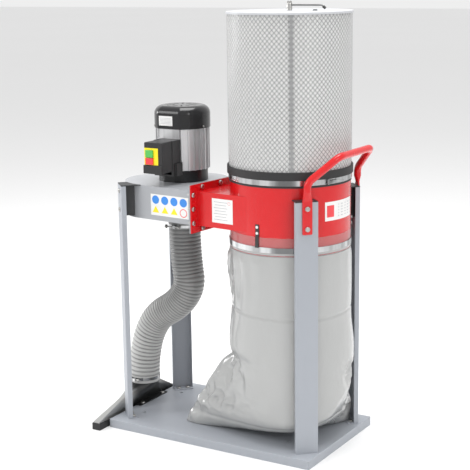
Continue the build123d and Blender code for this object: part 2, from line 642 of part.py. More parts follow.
# ================================================================ straps and latches
def strap_and_lever(inner, z0, z1, turn):
    """A steel strap round the drum with an over-centre latch, and its hinged lever."""
    outer = inner + STRAP_SHEET
    mid = (z0 + z1) / 2
    strap = tube(outer, inner, z0, z1)
    pin_x = outer + LATCH_STANDOFF
    lug_z = (z1 - z0) / 2 - LATCH_LUG
    hole = rod(LATCH_PIN_R + LATCH_FIT, z0 - 1, z1 + 1, pin_x, 0)
    for low, high in ((z0, z0 + LATCH_LUG), (z1 - LATCH_LUG, z1)):
        lug = box(outer - STRAP_SHEET / 2, pin_x + 3, -3.5, 3.5, low, high)
        strap += lug - rod(inner, low - 1, high + 1)
    strap -= hole
    catch_y = LATCH_LEVER * 0.62
    seat = math.sqrt(outer ** 2 - catch_y ** 2)
    catch = box(seat - 2, seat + 2.2, catch_y - 5, catch_y + 5, mid - 4, mid + 4)
    strap += catch - rod(outer - STRAP_SHEET / 2, mid - 5, mid + 5)
    half = lug_z - 0.3
    lever = rod(3.4, mid - half, mid + half, pin_x, 0)
    lever += rod(LATCH_PIN_R, z0 + 0.2, z1 - 0.2, pin_x, 0)
    lever += box(pin_x - LATCH_SHEET / 2, pin_x + LATCH_SHEET / 2, 0, LATCH_LEVER,
                 mid - half, mid + half)
    tip = Pos(pin_x, LATCH_LEVER, mid) * Rot(0, 0, -35) * Pos(0, 5, 0) * Box(
        LATCH_SHEET, 11, 2 * half)
    return at_drum(turn) * strap, at_drum(turn) * (lever + tip)


def make_straps():
    strap, lever = strap_and_lever(BAND_SKIRT_R + 0.05, CLAMP_BOTTOM, CLAMP_TOP,
                                   FILTER_LATCH_TURN)
    keep("filter_clamp", strap)
    keep("filter_latch_lever", lever)
    strap, lever = strap_and_lever(BAG_R + 0.05, BAG_STRAP_BOTTOM, BAG_STRAP_TOP, BAG_LATCH_TURN)
    keep("bag_strap", strap)
    keep("bag_latch_lever", lever)


# ================================================================ cleaning crank
def make_crank():
    here = Pos(DRUM_X, 0, 0)
    lid_top = FILTER_TOP + LID_SHEET
    hub = rod(HUB_R, lid_top + SEAT_GAP, lid_top + SEAT_GAP + HUB_HEIGHT)
    hub = chamfer(hub.edges().group_by(Axis.Z)[-1], 1.5)
    hub -= rod(SHAFT_R, 0, 2 * FILTER_TOP)
    hub -= cross_rod(ARM_R, 0, HUB_R + 1, 0, ARM_Z)
    keep("crank_hub", here * hub)

    path = FilletPolyline((SHAFT_R + 0.2, 0, ARM_Z), (ARM_LENGTH, 0, ARM_Z),
                          (ARM_LENGTH + 5, 0, ARM_Z - ARM_TIP_DROP), radius=4)
    arm = sweep(Plane(origin=path @ 0, z_dir=path % 0) * Circle(ARM_R), path=path)
    keep("crank_arm", here * arm)
    tip = Plane(origin=path @ 1, z_dir=path % 1) * Pos(0, 0, ARM_TIP_LENGTH / 2) * Cylinder(
        ARM_R * 1.6, ARM_TIP_LENGTH)
    keep("crank_tip", here * tip)

    shaft = rod(SHAFT_R, SHAFT_BOTTOM, SHAFT_TOP)
    shaft = chamfer(shaft.edges().group_by(Axis.Z)[-1], 1.0)
    keep("paddle_shaft", here * shaft)
    nut_z = lid_top + SEAT_GAP + HUB_HEIGHT
    nut = Pos(0, 0, nut_z) * extrude(RegularPolygon(8.0, 6), amount=5) - rod(SHAFT_R, 0, 2 * nut_z)
    keep("crank_nut", here * nut)
    paddles = []
    for i in range(PADDLE_COUNT):
        z = FILTER_BOTTOM + (i + 0.5) * PADDLE_PITCH
        paddle = box(SHAFT_R, PADDLE_REACH, -PADDLE_SHEET / 2, PADDLE_SHEET / 2, z,
                     z + PADDLE_HEIGHT)
        paddles.append(here * Rot(0, 0, 360 / PADDLE_COUNT * i) * paddle)
    keep("cleaning_paddles", *paddles)


# ================================================================ collecting bag
def bag_solid(shrink):
    """The bag's outside, or with a shrink its inside."""
    top = Pos(DRUM_X, 0, DRUM_BOTTOM - 3) * Circle(BAG_R - shrink)
    waist = Pos(DRUM_X - 3, 0, BAG_WAIST_Z) * Circle(BAG_WAIST_R - shrink)
    foot = Pos(BAG_FOOT_X, BAG_FOOT_Y, BASE_HEIGHT + SEAT_GAP + shrink) * Rot(
        0, 0, BAG_FOOT_TURN) * Ellipse(BAG_FOOT_LONG - shrink, BAG_FOOT_SHORT - shrink)
    upper = loft([waist, top])
    lower = loft([foot, waist])
    return upper + lower


def make_bag():
    bag = bag_solid(0) - bag_solid(BAG_FILM)
    bag += tube(BAG_R, BAG_R - BAG_FILM, DRUM_BOTTOM - 3, BAG_TOP, DRUM_X, 0)
    keep("collecting_bag", bag)


# ================================================================ hose
def hose_clamp(z):
    band = tube(HOSE_R + CLAMP_BAND, HOSE_R + 0.1, z - CLAMP_WIDTH / 2, z + CLAMP_WIDTH / 2)
    ear = HOSE_R + 0.6
    band += box(-4, 4, -ear - 12, -ear, z - CLAMP_WIDTH / 2, z + CLAMP_WIDTH / 2)
    screw = cross_rod(2.2, -30, 14, -ear - 7, z)
    band -= cross_rod(2.3, -5, 5, -ear - 7, z)
    knob = Pos(-31.5, -ear - 7, z) * Rot(0, 90, 0) * Cylinder(6.0, 4.0)
    nut = cross_rod(4.5, 14, 18, -ear - 7, z)
    return band, screw + knob + nut


def make_hose():
    turns = []
    for before, here, after in zip(HOSE_POINTS, HOSE_POINTS[1:], HOSE_POINTS[2:]):
        run_in = Vector(*here) - Vector(*before)
        run_out = Vector(*after) - Vector(*here)
        turn = math.radians(run_in.get_angle(run_out))
        turns.append(0.45 * min(run_in.length, run_out.length) / math.tan(turn / 2))
    print("hose bend radii", [round(r) for r in turns])
    path = FilletPolyline(*HOSE_POINTS, radius=turns)
    ring = Circle(HOSE_R) - Circle(HOSE_R - HOSE_WALL)
    hose = sweep(Plane(origin=path @ 0, z_dir=path % 0) * ring, path=path)
    print("hose length", round(path.length), "volume ratio",
          round(hose.volume / (ring.area * path.length), 4))
    keep("suction_hose", hose)
    bands = []
    screws = []
    for place, z in ((Pos(FAN_X, FAN_Y, 0), TOP_CLAMP_Z), (Pos(NOZZLE_X, 0, 0), BOTTOM_CLAMP_Z)):
        band, screw = hose_clamp(z)
        bands.append(place * band)
        screws.append(place * screw)
    keep("hose_clamps", *bands)
    keep("clamp_screws", *screws)


# ================================================================ floor nozzle
def nozzle_solid(shrink):
    mid_x = (MOUTH_OUTER_X + MOUTH_INNER_X) / 2
    mid_y = (MOUTH_FRONT_Y + MOUTH_BACK_Y) / 2
    wide = MOUTH_INNER_X - MOUTH_OUTER_X - 2 * shrink
    long = MOUTH_BACK_Y - MOUTH_FRONT_Y - 2 * shrink
    mouth = Pos(mid_x, mid_y, MOUTH_TOP) * Rectangle(wide, long)
    neck = Pos(NOZZLE_X, 0, NOZZLE_NECK) * Circle(COLLAR_R - shrink)
    hood = loft([mouth, neck], ruled=True)
    skirt = Pos(mid_x, mid_y, (MOUTH_TOP + MOUTH_BOTTOM) / 2 - shrink / 2) * Box(
        wide, long, MOUTH_TOP - MOUTH_BOTTOM + shrink)
    collar = rod(COLLAR_R - shrink, NOZZLE_NECK, NOZZLE_COLLAR_TOP + shrink, NOZZLE_X, 0)
    return hood + skirt + collar


def make_nozzle():
    inside = nozzle_solid(NOZZLE_SHEET)
    flange = box(MOUTH_INNER_X, NOZZLE_FLANGE_X, NOZZLE_FLANGE_Y[0], NOZZLE_FLANGE_Y[1],
                 BASE_HEIGHT, BASE_HEIGHT + NOZZLE_FLANGE_SHEET)
    flange = fillet(flange.edges().filter_by(Axis.Z).sort_by(Axis.X)[-2:], 5.0)
    nozzle = nozzle_solid(0) + flange - inside
    bolts = []
    for y in NOZZLE_BOLT_Y:
        nozzle -= rod(BOLT_R + BOLT_CLEARANCE, BASE_HEIGHT - 1, BASE_HEIGHT + 10, NOZZLE_BOLT_X, y)
        bolts.append(bolt_down(NOZZLE_BOLT_X, y, BASE_HEIGHT + NOZZLE_FLANGE_SHEET, 18.0))
    keep("floor_nozzle", max(nozzle.solids(), key=lambda s: s.volume))
    keep("nozzle_bolts", *bolts)
    lip = box(MOUTH_OUTER_X - LIP_RUBBER, MOUTH_INNER_X + LIP_RUBBER, MOUTH_FRONT_Y - LIP_RUBBER,
              MOUTH_BACK_Y + LIP_RUBBER, 0, LIP_TOP)
    lip -= box(MOUTH_OUTER_X, MOUTH_INNER_X, MOUTH_FRONT_Y, MOUTH_BACK_Y, -1, LIP_TOP + 1)
    keep("nozzle_lip", lip)


# ================================================================ motor
def at_motor():
    return Pos(FAN_X, FAN_Y, 0)


def make_motor():
    foot_top = HOUSING_TOP + MOTOR_FOOT_SHEET
    flange = tube(MOTOR_FLANGE_R, MOTOR_FLANGE_R - MOTOR_FLANGE_WALL, HOUSING_TOP, MOTOR_FLANGE_TOP)
    flange += rod(MOTOR_FLANGE_R, HOUSING_TOP, foot_top)
    flange += rod(BEARING_R + 6, HOUSING_TOP, foot_top + BEARING_WIDTH)
    flange -= rod(BEARING_R, foot_top, MOTOR_FLANGE_TOP)
    flange -= rod(SHAFT_MOTOR_R + 1, HOUSING_TOP - 1, MOTOR_FLANGE_TOP)
    flange -= box(-BODY_R, BODY_R, -2 * BODY_R, -PAD_DEPTH + SEAT_GAP, 0, BODY_TOP)
    for x, y in motor_bolt_places():
        flange -= rod(BOLT_R + BOLT_CLEARANCE, HOUSING_TOP - 1, foot_top + 1, x, y)
        flange -= rod(BOLT_HEAD_R + 2, foot_top, MOTOR_FLANGE_TOP + 1, x, y)
    keep("motor_flange", at_motor() * flange)
    bolts = [at_motor() * bolt_down(x, y, foot_top, 16.0) for x, y in motor_bolt_places()]
    keep("motor_bolts", *bolts)

    body = rod(BODY_R, MOTOR_FLANGE_TOP, BODY_TOP)
    for i in range(FIN_COUNT):
        turn = FIN_START + i * FIN_SWEEP / (FIN_COUNT - 1)
        fin = box(BODY_R - 2, BODY_R + FIN_HEIGHT, -FIN_WIDTH / 2, FIN_WIDTH / 2,
                  MOTOR_FLANGE_TOP, BODY_TOP)
        body += Rot(0, 0, turn) * fin
    body += box(-PAD_HALF, PAD_HALF, -PAD_DEPTH, 0, MOTOR_FLANGE_TOP, BODY_TOP)
    body -= box(-PAD_HALF, PAD_HALF, -2 * PAD_DEPTH, -PAD_DEPTH, 0, 2 * BODY_TOP)
    body -= rod(BODY_BORE, 0, 2 * BODY_TOP)
    keep("motor_body", at_motor() * max(body.solids(), key=lambda s: s.volume))

    shield_top = BODY_TOP + SHIELD_SHEET
    shield = rod(MOTOR_FLANGE_R, BODY_TOP, shield_top) + rod(BODY_BORE, BODY_TOP - 4, BODY_TOP)
    shield -= box(-BODY_R, BODY_R, -2 * BODY_R, -PAD_DEPTH, 0, 2 * BODY_TOP)
    shield -= rod(BEARING_R, BODY_TOP - 5, shield_top - 1.5)
    shield -= rod(SHAFT_MOTOR_R + 1, 0, 2 * BODY_TOP)
    keep("motor_end_shield", at_motor() * shield)

    low_seat = foot_top
    high_seat = shield_top - 1.5 - BEARING_WIDTH
    bearings = []
    for z in (low_seat, high_seat):
        bearings.append(at_motor() * tube(BEARING_R, SHAFT_MOTOR_R + MOTOR_FIT, z,
                                          z + BEARING_WIDTH))
    keep("motor_bearings", *bearings)

    stator = tube(BODY_BORE, ROTOR_R + AIR_GAP, STACK_BOTTOM, STACK_TOP)
    keep("stator", at_motor() * stator)
    rotor = tube(ROTOR_R, SHAFT_MOTOR_R, STACK_BOTTOM, STACK_TOP)
    keep("rotor", at_motor() * rotor)
    shaft_low = IMPELLER_PLATE_Z - 22
    shaft_high = COOLING_FAN_Z + 14
    keep("motor_shaft", at_motor() * rod(SHAFT_MOTOR_R, shaft_low, shaft_high))

    fan = tube(COOLING_FAN_R, SHAFT_MOTOR_R, COOLING_FAN_Z, COOLING_FAN_Z + 2)
    fan += tube(18, SHAFT_MOTOR_R, COOLING_FAN_Z, COOLING_FAN_Z + 12)
    for i in range(9):
        blade = box(17, COOLING_FAN_R - 1, -1, 1, COOLING_FAN_Z + 2, COOLING_FAN_Z + 18)
        fan += Rot(0, 0, 40 * i) * blade
    keep("cooling_fan", at_motor() * fan)
    make_cowl()


def cowl_block(radius, flat, z0, z1, rounding):
    block = rod(radius, z0, z1) - box(-radius, radius, -2 * radius, -flat, z0 - 1, z1 + 1)
    block = fillet(block.edges().filter_by(Axis.Z), 14.0)
    return fillet(block.faces().sort_by(Axis.Z)[-1].edges(), rounding)


def make_cowl():
    cowl = cowl_block(COWL_R, COWL_FLAT, COWL_BOTTOM, COWL_TOP, COWL_ROUND)
    cowl -= cowl_block(COWL_R - COWL_WALL, COWL_FLAT - COWL_WALL, COWL_BOTTOM - 1,
                       COWL_TOP - COWL_WALL, COWL_ROUND - COWL_WALL)
    for i in range(12):
        cowl -= Rot(0, 0, 30 * i) * box(24, 52, -2, 2, COWL_TOP - 10, COWL_TOP + 1)
    keep("fan_cowl", at_motor() * cowl)
    screws = []
    for turn in (-135, -10, 90, 190):
        screws.append(at_motor() * Rot(0, 0, turn) * cross_rod(3.2, COWL_R, COWL_R + 2.5, 0,
                                                               COWL_BOTTOM + 7))
    keep("cowl_screws", *screws)


# ================================================================ impeller
def make_impeller():
    plate = IMPELLER_PLATE_Z
    wheel = tube(IMPELLER_R, SHAFT_MOTOR_R, plate, plate + 2.5)
    wheel += tube(20, SHAFT_MOTOR_R, plate - 20, plate)
    for i in range(IMPELLER_BLADES):
        blade = Pos(64, 0, plate - IMPELLER_BLADE / 2) * Rot(0, 0, -22) * Box(82, 2.5, IMPELLER_BLADE)
        blade &= tube(IMPELLER_R - 1, 26, plate - IMPELLER_BLADE, plate)
        wheel += Rot(0, 0, 360 / IMPELLER_BLADES * i) * blade
    keep("impeller", at_motor() * wheel)
    end = plate - 22
    bolt = rod(17, end - 4, end) + Pos(0, 0, end - 10) * extrude(RegularPolygon(8, 6), amount=6)
    keep("impeller_bolt", at_motor() * bolt)


# ================================================================ switch box
def make_switch():
    back = -PAD_DEPTH
    split = back - TERMINAL_DEPTH
    front = split - SWITCH_DEPTH
    left = BOX_LEFT
    right = BOX_RIGHT
    terminal = box(left - 2, right + 2, split, back, TERMINAL_BOTTOM, SWITCH_TOP)
    terminal += box(left - TERMINAL_SPREAD, right + TERMINAL_SPREAD, split + 14, back,
                    TERMINAL_BOTTOM, TERMINAL_BOTTOM + 38)
    terminal = fillet(terminal.edges().filter_by(Axis.Z), 1.8)
    terminal -= box(left + 3, right - 3, split - 1, back - 3, TERMINAL_BOTTOM + 5, SWITCH_TOP - 4)
    keep("terminal_box", at_motor() * terminal)

    case = box(left, right, front, split, SWITCH_BOTTOM, SWITCH_TOP)
    case = fillet(case.edges().filter_by(Axis.Y), 4.0)
    case = fillet(case.faces().sort_by(Axis.Y)[0].edges(), 1.5)
    tray = box(left - 2, right, front - 5, front + 16, SWITCH_BOTTOM, SWITCH_BOTTOM + 26)
    case += fillet(tray.edges(), 2.0)
    plate_left = left + 1.5
    plate = box(plate_left, plate_left + PLATE_WIDTH, front - PLATE_SHEET, front,
                PLATE_Z - PLATE_HEIGHT / 2 + 2, PLATE_Z + PLATE_HEIGHT / 2)
    case -= box(left + 3, right - 3, front + 3, split + 1, SWITCH_BOTTOM + 3, SWITCH_TOP - 3)
    button_mid = plate_left + BUTTON_MARGIN + BUTTON_WIDTH / 2
    for name, tall, z in zip(("green_button", "red_button"), BUTTON_HEIGHTS, BUTTON_CENTRES):
        hole = box(button_mid - BUTTON_WIDTH / 2 - BUTTON_FIT, button_mid + BUTTON_WIDTH / 2 + BUTTON_FIT,
                   front - 10, front + 4, z - tall / 2 - BUTTON_FIT, z + tall / 2 + BUTTON_FIT)
        case -= hole
        plate -= hole
        cap = box(button_mid - BUTTON_WIDTH / 2, button_mid + BUTTON_WIDTH / 2,
                  front - PLATE_SHEET - BUTTON_PROUD, front - PLATE_SHEET - BUTTON_PROUD + BUTTON_DEPTH,
                  z - tall / 2, z + tall / 2)
        cap = fillet(cap.faces().sort_by(Axis.Y)[0].edges(), 1.2)
        keep(name, at_motor() * cap)
    case -= box(plate_left - 0.2, plate_left + PLATE_WIDTH + 0.2, front - 20, front,
                PLATE_Z - PLATE_HEIGHT / 2 + 1.8, PLATE_Z + PLATE_HEIGHT / 2 + 0.2)
    keep("switch_case", at_motor() * case)
    keep("switch_plate", at_motor() * plate)


# ================================================================ build
make_base()
make_handle(make_legs())
make_housing()
make_drum()
make_clips()
make_filter()
make_straps()
make_crank()
make_bag()
make_hose()
make_nozzle()
make_motor()
make_impeller()
make_switch()

for name, shape in pieces.items():
    export_step(shape, f"parts/{name}.step")
print(len(pieces), "sub-parts")
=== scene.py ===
"""Looks of a mobile dust collector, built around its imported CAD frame.

The CAD frame holds every rigid part.  This script dresses those parts and builds the pieces
that a CAD solid only stands in for: the film bag, the ribbed hose, the pleated filter with its
expanded-metal jacket, and the small plates and seams.  All lengths are in metres.
"""
import logging
import math
from collections.abc import Callable
from dataclasses import dataclass, field
from enum import Enum

import bmesh
import bpy
from mathutils import Matrix, Vector, noise


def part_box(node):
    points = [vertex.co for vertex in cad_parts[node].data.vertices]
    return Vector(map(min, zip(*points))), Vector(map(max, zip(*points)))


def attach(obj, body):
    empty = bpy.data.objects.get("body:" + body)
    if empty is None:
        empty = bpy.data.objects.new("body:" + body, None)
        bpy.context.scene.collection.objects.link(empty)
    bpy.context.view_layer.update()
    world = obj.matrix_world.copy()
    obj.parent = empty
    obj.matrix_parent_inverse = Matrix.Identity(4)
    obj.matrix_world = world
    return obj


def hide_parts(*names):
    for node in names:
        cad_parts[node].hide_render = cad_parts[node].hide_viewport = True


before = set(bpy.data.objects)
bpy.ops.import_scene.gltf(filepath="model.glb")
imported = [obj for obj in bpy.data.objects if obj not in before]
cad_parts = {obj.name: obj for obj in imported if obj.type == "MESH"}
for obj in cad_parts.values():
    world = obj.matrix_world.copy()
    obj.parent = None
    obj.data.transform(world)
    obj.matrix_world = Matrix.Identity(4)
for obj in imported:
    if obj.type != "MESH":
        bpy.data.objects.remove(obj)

log = logging.getLogger("dust_collector")
Colour = tuple[float, float, float]
Stretch = tuple[float, float, float]
Surface = Callable[[float, float], Vector]
Outward = Callable[[float], Vector]
MERGE_WITHIN = 1e-6
EVEN: Stretch = (1.0, 1.0, 1.0)
ALONG_Z: Stretch = (1.0, 1.0, 0.02)


# ---------------------------------------------------------------- shader helpers
class Graph:
    """A material's node tree, with one method that adds any node."""

    def __init__(self, name: str) -> None:
        """Starts an empty material.

        Args:
            name: The material's name.
        """
        self.material = bpy.data.materials.new(name)
        self.material.use_nodes = True
        self.tree = self.material.node_tree
        self.tree.nodes.clear()

    def node(self, kind: str, settings: dict | None = None, sockets: dict | None = None
             ) -> bpy.types.Node:
        """Adds a node.

        Args:
            kind: The node's type.
            settings: Its properties, such as a Math node's operation, which are set first.
            sockets: Its input values or links, by name or place.

        Returns:
            The new node.
        """
        made = self.tree.nodes.new(kind)
        for key, value in (settings or {}).items():
            setattr(made, key, value)
        for key, value in (sockets or {}).items():
            if isinstance(value, Value):
                value = value.socket
            if isinstance(value, bpy.types.NodeSocket):
                self.tree.links.new(value, made.inputs[key])
            else:
                made.inputs[key].default_value = value
        return made

    def place(self, stretch: Stretch = EVEN) -> bpy.types.NodeSocket:
        """Gives Object coordinates, scaled along each axis.

        Args:
            stretch: The scale along X, Y and Z.

        Returns:
            The scaled coordinates' socket.
        """
        coordinates = self.node("ShaderNodeTexCoord").outputs["Object"]
        mapping = self.node("ShaderNodeMapping", None, {"Vector": coordinates, "Scale": stretch})
        return mapping.outputs["Vector"]

    def noise(self, scale: float, detail: float = 2.0, stretch: Stretch = EVEN) -> "Value":
        """Gives a cloudy pattern from 0 to 1 on Object coordinates.

        Args:
            scale: How many patches fit in a metre.
            detail: How many finer layers are added.
            stretch: The scale along X, Y and Z.

        Returns:
            The pattern.
        """
        made = self.node("ShaderNodeTexNoise", None,
                         {"Vector": self.place(stretch), "Scale": scale, "Detail": detail})
        return Value(self, made.outputs[0])

    def height(self) -> "Value":
        """The height above the floor, in metres."""
        parts = self.node("ShaderNodeSeparateXYZ", None, {0: self.place()})
        return Value(self, parts.outputs["Z"])

    def attribute(self, name: str) -> "Value":
        """A number stored on the mesh."""
        made = self.node("ShaderNodeAttribute", {"attribute_name": name})
        return Value(self, made.outputs["Fac"])

    def mix(self, factor: "Value", low: Colour, high: Colour) -> bpy.types.NodeSocket:
        """A colour between two others.

        Args:
            factor: 0 for low and 1 for high.
            low: The first colour.
            high: The second colour.

        Returns:
            The mixed colour's socket.
        """
        made = self.node("ShaderNodeMix", {"data_type": "RGBA"},
                         {0: factor, 6: (*low, 1.0), 7: (*high, 1.0)})
        return made.outputs[2]

    def bump(self, height: "Value", depth: float, strength: float = 1.0) -> bpy.types.NodeSocket:
        """Gives a normal from a height pattern.

        Args:
            height: The pattern.
            depth: Its full depth in metres.
            strength: How much of it shows, from 0 to 1.

        Returns:
            The normal's socket.
        """
        made = self.node("ShaderNodeBump", None,
                         {"Height": height, "Distance": depth, "Strength": strength})
        return made.outputs["Normal"]

    def finish(self, sockets: dict) -> bpy.types.Material:
        """Closes the material with one principled shader.

        Args:
            sockets: The shader's values or links by name.

        Returns:
            The material.
        """
        shader = self.node("ShaderNodeBsdfPrincipled", None, sockets)
        self.node("ShaderNodeOutputMaterial", None, {"Surface": shader.outputs[0]})
        return self.material


@dataclass(frozen=True)
class Value:
    """A number in a shader, so that sums on it read as plain Python."""

    graph: Graph
    socket: bpy.types.NodeSocket

    def _math(self, operation: str, first: "Value | float", second: "Value | float") -> "Value":
        """Adds one Math node."""
        made = self.graph.node("ShaderNodeMath", {"operation": operation}, {0: first, 1: second})
        return Value(self.graph, made.outputs[0])

    def __add__(self, other: "Value | float") -> "Value":
        """self + other."""
        return self._math("ADD", self, other)

    def __radd__(self, other: float) -> "Value":
        """other + self."""
        return self._math("ADD", other, self)

    def __sub__(self, other: "Value | float") -> "Value":
        """self - other."""
        return self._math("SUBTRACT", self, other)

    def __rsub__(self, other: float) -> "Value":
        """other - self."""
        return self._math("SUBTRACT", other, self)

    def __mul__(self, other: "Value | float") -> "Value":
        """self * other."""
        return self._math("MULTIPLY", self, other)

    def __rmul__(self, other: float) -> "Value":
        """other * self."""
        return self._math("MULTIPLY", other, self)

    def ramp(self, low: float, high: float) -> "Value":
        """Spreads a range of values smoothly over 0 to 1.

        Args:
            low: The value that becomes 0.
            high: The value that becomes 1.

        Returns:
            The spread value.
        """
        made = self.graph.node("ShaderNodeMapRange", {"interpolation_type": "SMOOTHSTEP"},
                               {0: self, 1: low, 2: high})
        return Value(self.graph, made.outputs[0])


# ---------------------------------------------------------------- finishes
class Gloss(Enum):
    """How shiny a coat of paint is: roughness, clear coat weight and its roughness."""

    SATIN = (0.46, 0.1, 0.35)
    SEMI = (0.34, 0.25, 0.2)
    HIGH = (0.24, 0.42, 0.07)


@dataclass(frozen=True)
class Paint:
    """Sprayed paint on sheet metal, with faint orange peel, drifts of dust and small scuffs."""

    name: str
    colour: Colour
    gloss: Gloss
    peel: float = 0.00012
    drift: float = 0.08

    def material(self) -> bpy.types.Material:
        """Builds the paint's material.

        Returns:
            The material.
        """
        graph = Graph(self.name)
        rough, coat, coat_rough = self.gloss.value
        cloud = graph.noise(5.0, 3.0)
        scuff = graph.noise(60.0, 4.0, (1.0, 1.0, 0.25)).ramp(0.66, 0.74)
        dark = tuple(c * (1.0 - self.drift) for c in self.colour)
        light = tuple(min(1.0, c * (1.0 + self.drift) + 0.004) for c in self.colour)
        return graph.finish({
            "Base Color": graph.mix(cloud, dark, light),
            "Roughness": cloud * 0.08 + scuff * 0.07 + (rough - 0.04),
            "Specular IOR Level": 0.3,
            "Coat Weight": coat,
            "Coat Roughness": coat_rough,
            "Normal": graph.bump(graph.noise(420.0, 1.0) + graph.noise(9.0, 1.0) * 6.0, self.peel),
        })


@dataclass(frozen=True)
class Metal:
    """Bare or plated metal; grain runs along the axis with the small stretch. Where the pattern is
    broad and strong, as on the strap, its dark streaks are painted reflection.
    """

    name: str
    colour: Colour
    roughness: float
    grain_and_sheen: Stretch = EVEN
    grain_and_sheen_scale: float = 300.0
    depth: float = 0.00006
    metallic: float = 1.0
    shade: float = 0.82
    streak: float = 0.4

    def material(self) -> bpy.types.Material:
        """Builds the metal's material.

        Returns:
            The material.
        """
        graph = Graph(self.name)
        grain_and_sheen = graph.noise(self.grain_and_sheen_scale, 3.0, self.grain_and_sheen)
        cloud = graph.noise(14.0, 3.0)
        dark = tuple(c * self.shade for c in self.colour)
        # A strong streak weight paints reflection streaks into the colour, as on the strap.
        tone = cloud * (1.0 - self.streak) + grain_and_sheen.ramp(0.36, 0.64) * self.streak
        return graph.finish({
            "Base Color": graph.mix(tone, dark, self.colour),
            "Metallic": self.metallic,
            "Roughness": cloud * 0.14 + grain_and_sheen * 0.08 + (self.roughness - 0.11),
            "Normal": graph.bump(grain_and_sheen, self.depth),
        })


@dataclass(frozen=True)
class PaintedReflectionSheet:
    """Galvanised sheet with a painted reflection: bright towards the front and dark by the collar.
    """

    name: str
    bright: Colour
    dark: Colour
    bright_at: float
    dark_at: float

    def material(self) -> bpy.types.Material:
        """Builds the sheet's material.

        Returns:
            The material.
        """
        graph = Graph(self.name)
        place = graph.node("ShaderNodeSeparateXYZ", None, {0: graph.place()})
        along = Value(graph, place.outputs["Y"])
        cloud = graph.noise(16.0, 4.0)
        # Painted reflection: the colour goes from bright to dark along Y towards the collar.
        shift = along.ramp(self.bright_at, self.dark_at) + (cloud - 0.5) * 0.25
        return graph.finish({
            "Base Color": graph.mix(shift.ramp(0.1, 0.9), self.bright, self.dark),
            "Metallic": 0.7,
            "Roughness": cloud * 0.16 + 0.26,
            "Normal": graph.bump(graph.noise(120.0, 3.0), 0.0001),
        })


@dataclass(frozen=True)
class Moulded:
    """Moulded plastic or rubber with a spark-eroded texture."""

    name: str
    colour: Colour
    roughness: float
    texture: float = 0.00010
    scale: float = 700.0
    coat: float = 0.0

    def material(self) -> bpy.types.Material:
        """Builds the moulding's material.

        Returns:
            The material.
        """
        graph = Graph(self.name)
        texture = graph.noise(self.scale, 2.0)
        cloud = graph.noise(11.0, 3.0)
        light = tuple(min(1.0, c * 1.25 + 0.008) for c in self.colour)
        return graph.finish({
            "Base Color": graph.mix(cloud, self.colour, light),
            "Roughness": cloud * 0.12 + (self.roughness - 0.06),
            "Coat Weight": self.coat,
            "Coat Roughness": 0.12,
            "Normal": graph.bump(texture, self.texture),
        })


@dataclass(frozen=True)
class Film:
    """Thin translucent bag film: clearer where it lies on the drum than where it hangs free."""

    name: str
    colour: Colour
    clear_from: float
    free_alpha: float = 0.93
    lap_alpha: float = 0.3
    hem: float = 0.011
    fade: float = 0.003
    edge_line: float = 0.002
    edge_strength: float = 0.8

    def material(self) -> bpy.types.Material:
        """Builds the film's material.

        Returns:
            The material.
        """
        graph = Graph(self.name)
        height = graph.height()
        on_drum = self.clear_from + self.hem
        over_edge = self.clear_from + self.edge_line
        edge = (height.ramp(self.clear_from - self.fade, self.clear_from)
                - height.ramp(over_edge, over_edge + self.fade))
        lap = height.ramp(on_drum, on_drum + self.fade) + edge * self.edge_strength
        haze = graph.noise(7.0, 4.0, (1.0, 1.0, 0.6))
        wrinkle = graph.noise(26.0, 5.0, (1.0, 1.0, 0.45))
        dark = tuple(c * 0.93 for c in self.colour)
        return graph.finish({
            "Base Color": graph.mix(haze, dark, self.colour),
            "Roughness": haze * 0.14 + 0.16,
            "Specular IOR Level": 0.6,
            "Coat Weight": 0.5,
            "Coat Roughness": 0.1,
            "Alpha": self.free_alpha - lap * (self.free_alpha - self.lap_alpha) - haze * 0.04,
            "Normal": graph.bump(wrinkle, 0.005, 0.45),
        })


@dataclass(frozen=True)
class RibbedSkin:
    """Grey hose film over a wire helix: painted shade darkens the folds and painted highlight
    lightens the crests. The hose is darker towards the top, partly from painted shadow of the
    housing and partly from a darker colour.
    """

    name: str
    fold: Colour
    crest: Colour
    lighter_below: float = 0.22
    darker_above: float = 0.56

    def material(self) -> bpy.types.Material:
        """Builds the hose's material.

        Returns:
            The material.
        """
        graph = Graph(self.name)
        rib = graph.attribute("rib")
        lower = 1.0 - graph.height().ramp(self.lighter_below, self.darker_above)
        cloud = graph.noise(30.0, 3.0)
        # Painted shade in the folds, painted highlight on the crests, and a darker top that is
        # partly painted shadow of the housing.
        fold_shade_and_tone = (rib * 0.8 + 0.1 + cloud * 0.1) * (lower * 0.66 + 0.34)
        return graph.finish({
            "Base Color": graph.mix(fold_shade_and_tone, self.fold, self.crest),
            "Roughness": 0.44 - rib * 0.12 + cloud * 0.08,
            "Coat Weight": 0.15,
            "Coat Roughness": 0.3,
            "Normal": graph.bump(graph.noise(500.0, 2.0), 0.00008),
        })


@dataclass(frozen=True)
class FilterPaper:
    """Spun white filter medium with a fibrous face."""

    name: str
    colour: Colour

    def material(self) -> bpy.types.Material:
        """Builds the medium's material.

        Returns:
            The material.
        """
        graph = Graph(self.name)
        fibre = graph.noise(240.0, 5.0, (1.0, 1.0, 0.3))
        cloud = graph.noise(6.0, 2.0)
        dark = tuple(c * 0.86 for c in self.colour)
        return graph.finish({
            "Base Color": graph.mix(fibre * 0.5 + cloud * 0.5, dark, self.colour),
            "Roughness": fibre * 0.1 + 0.8,
            "Normal": graph.bump(fibre, 0.0006, 0.6),
        })


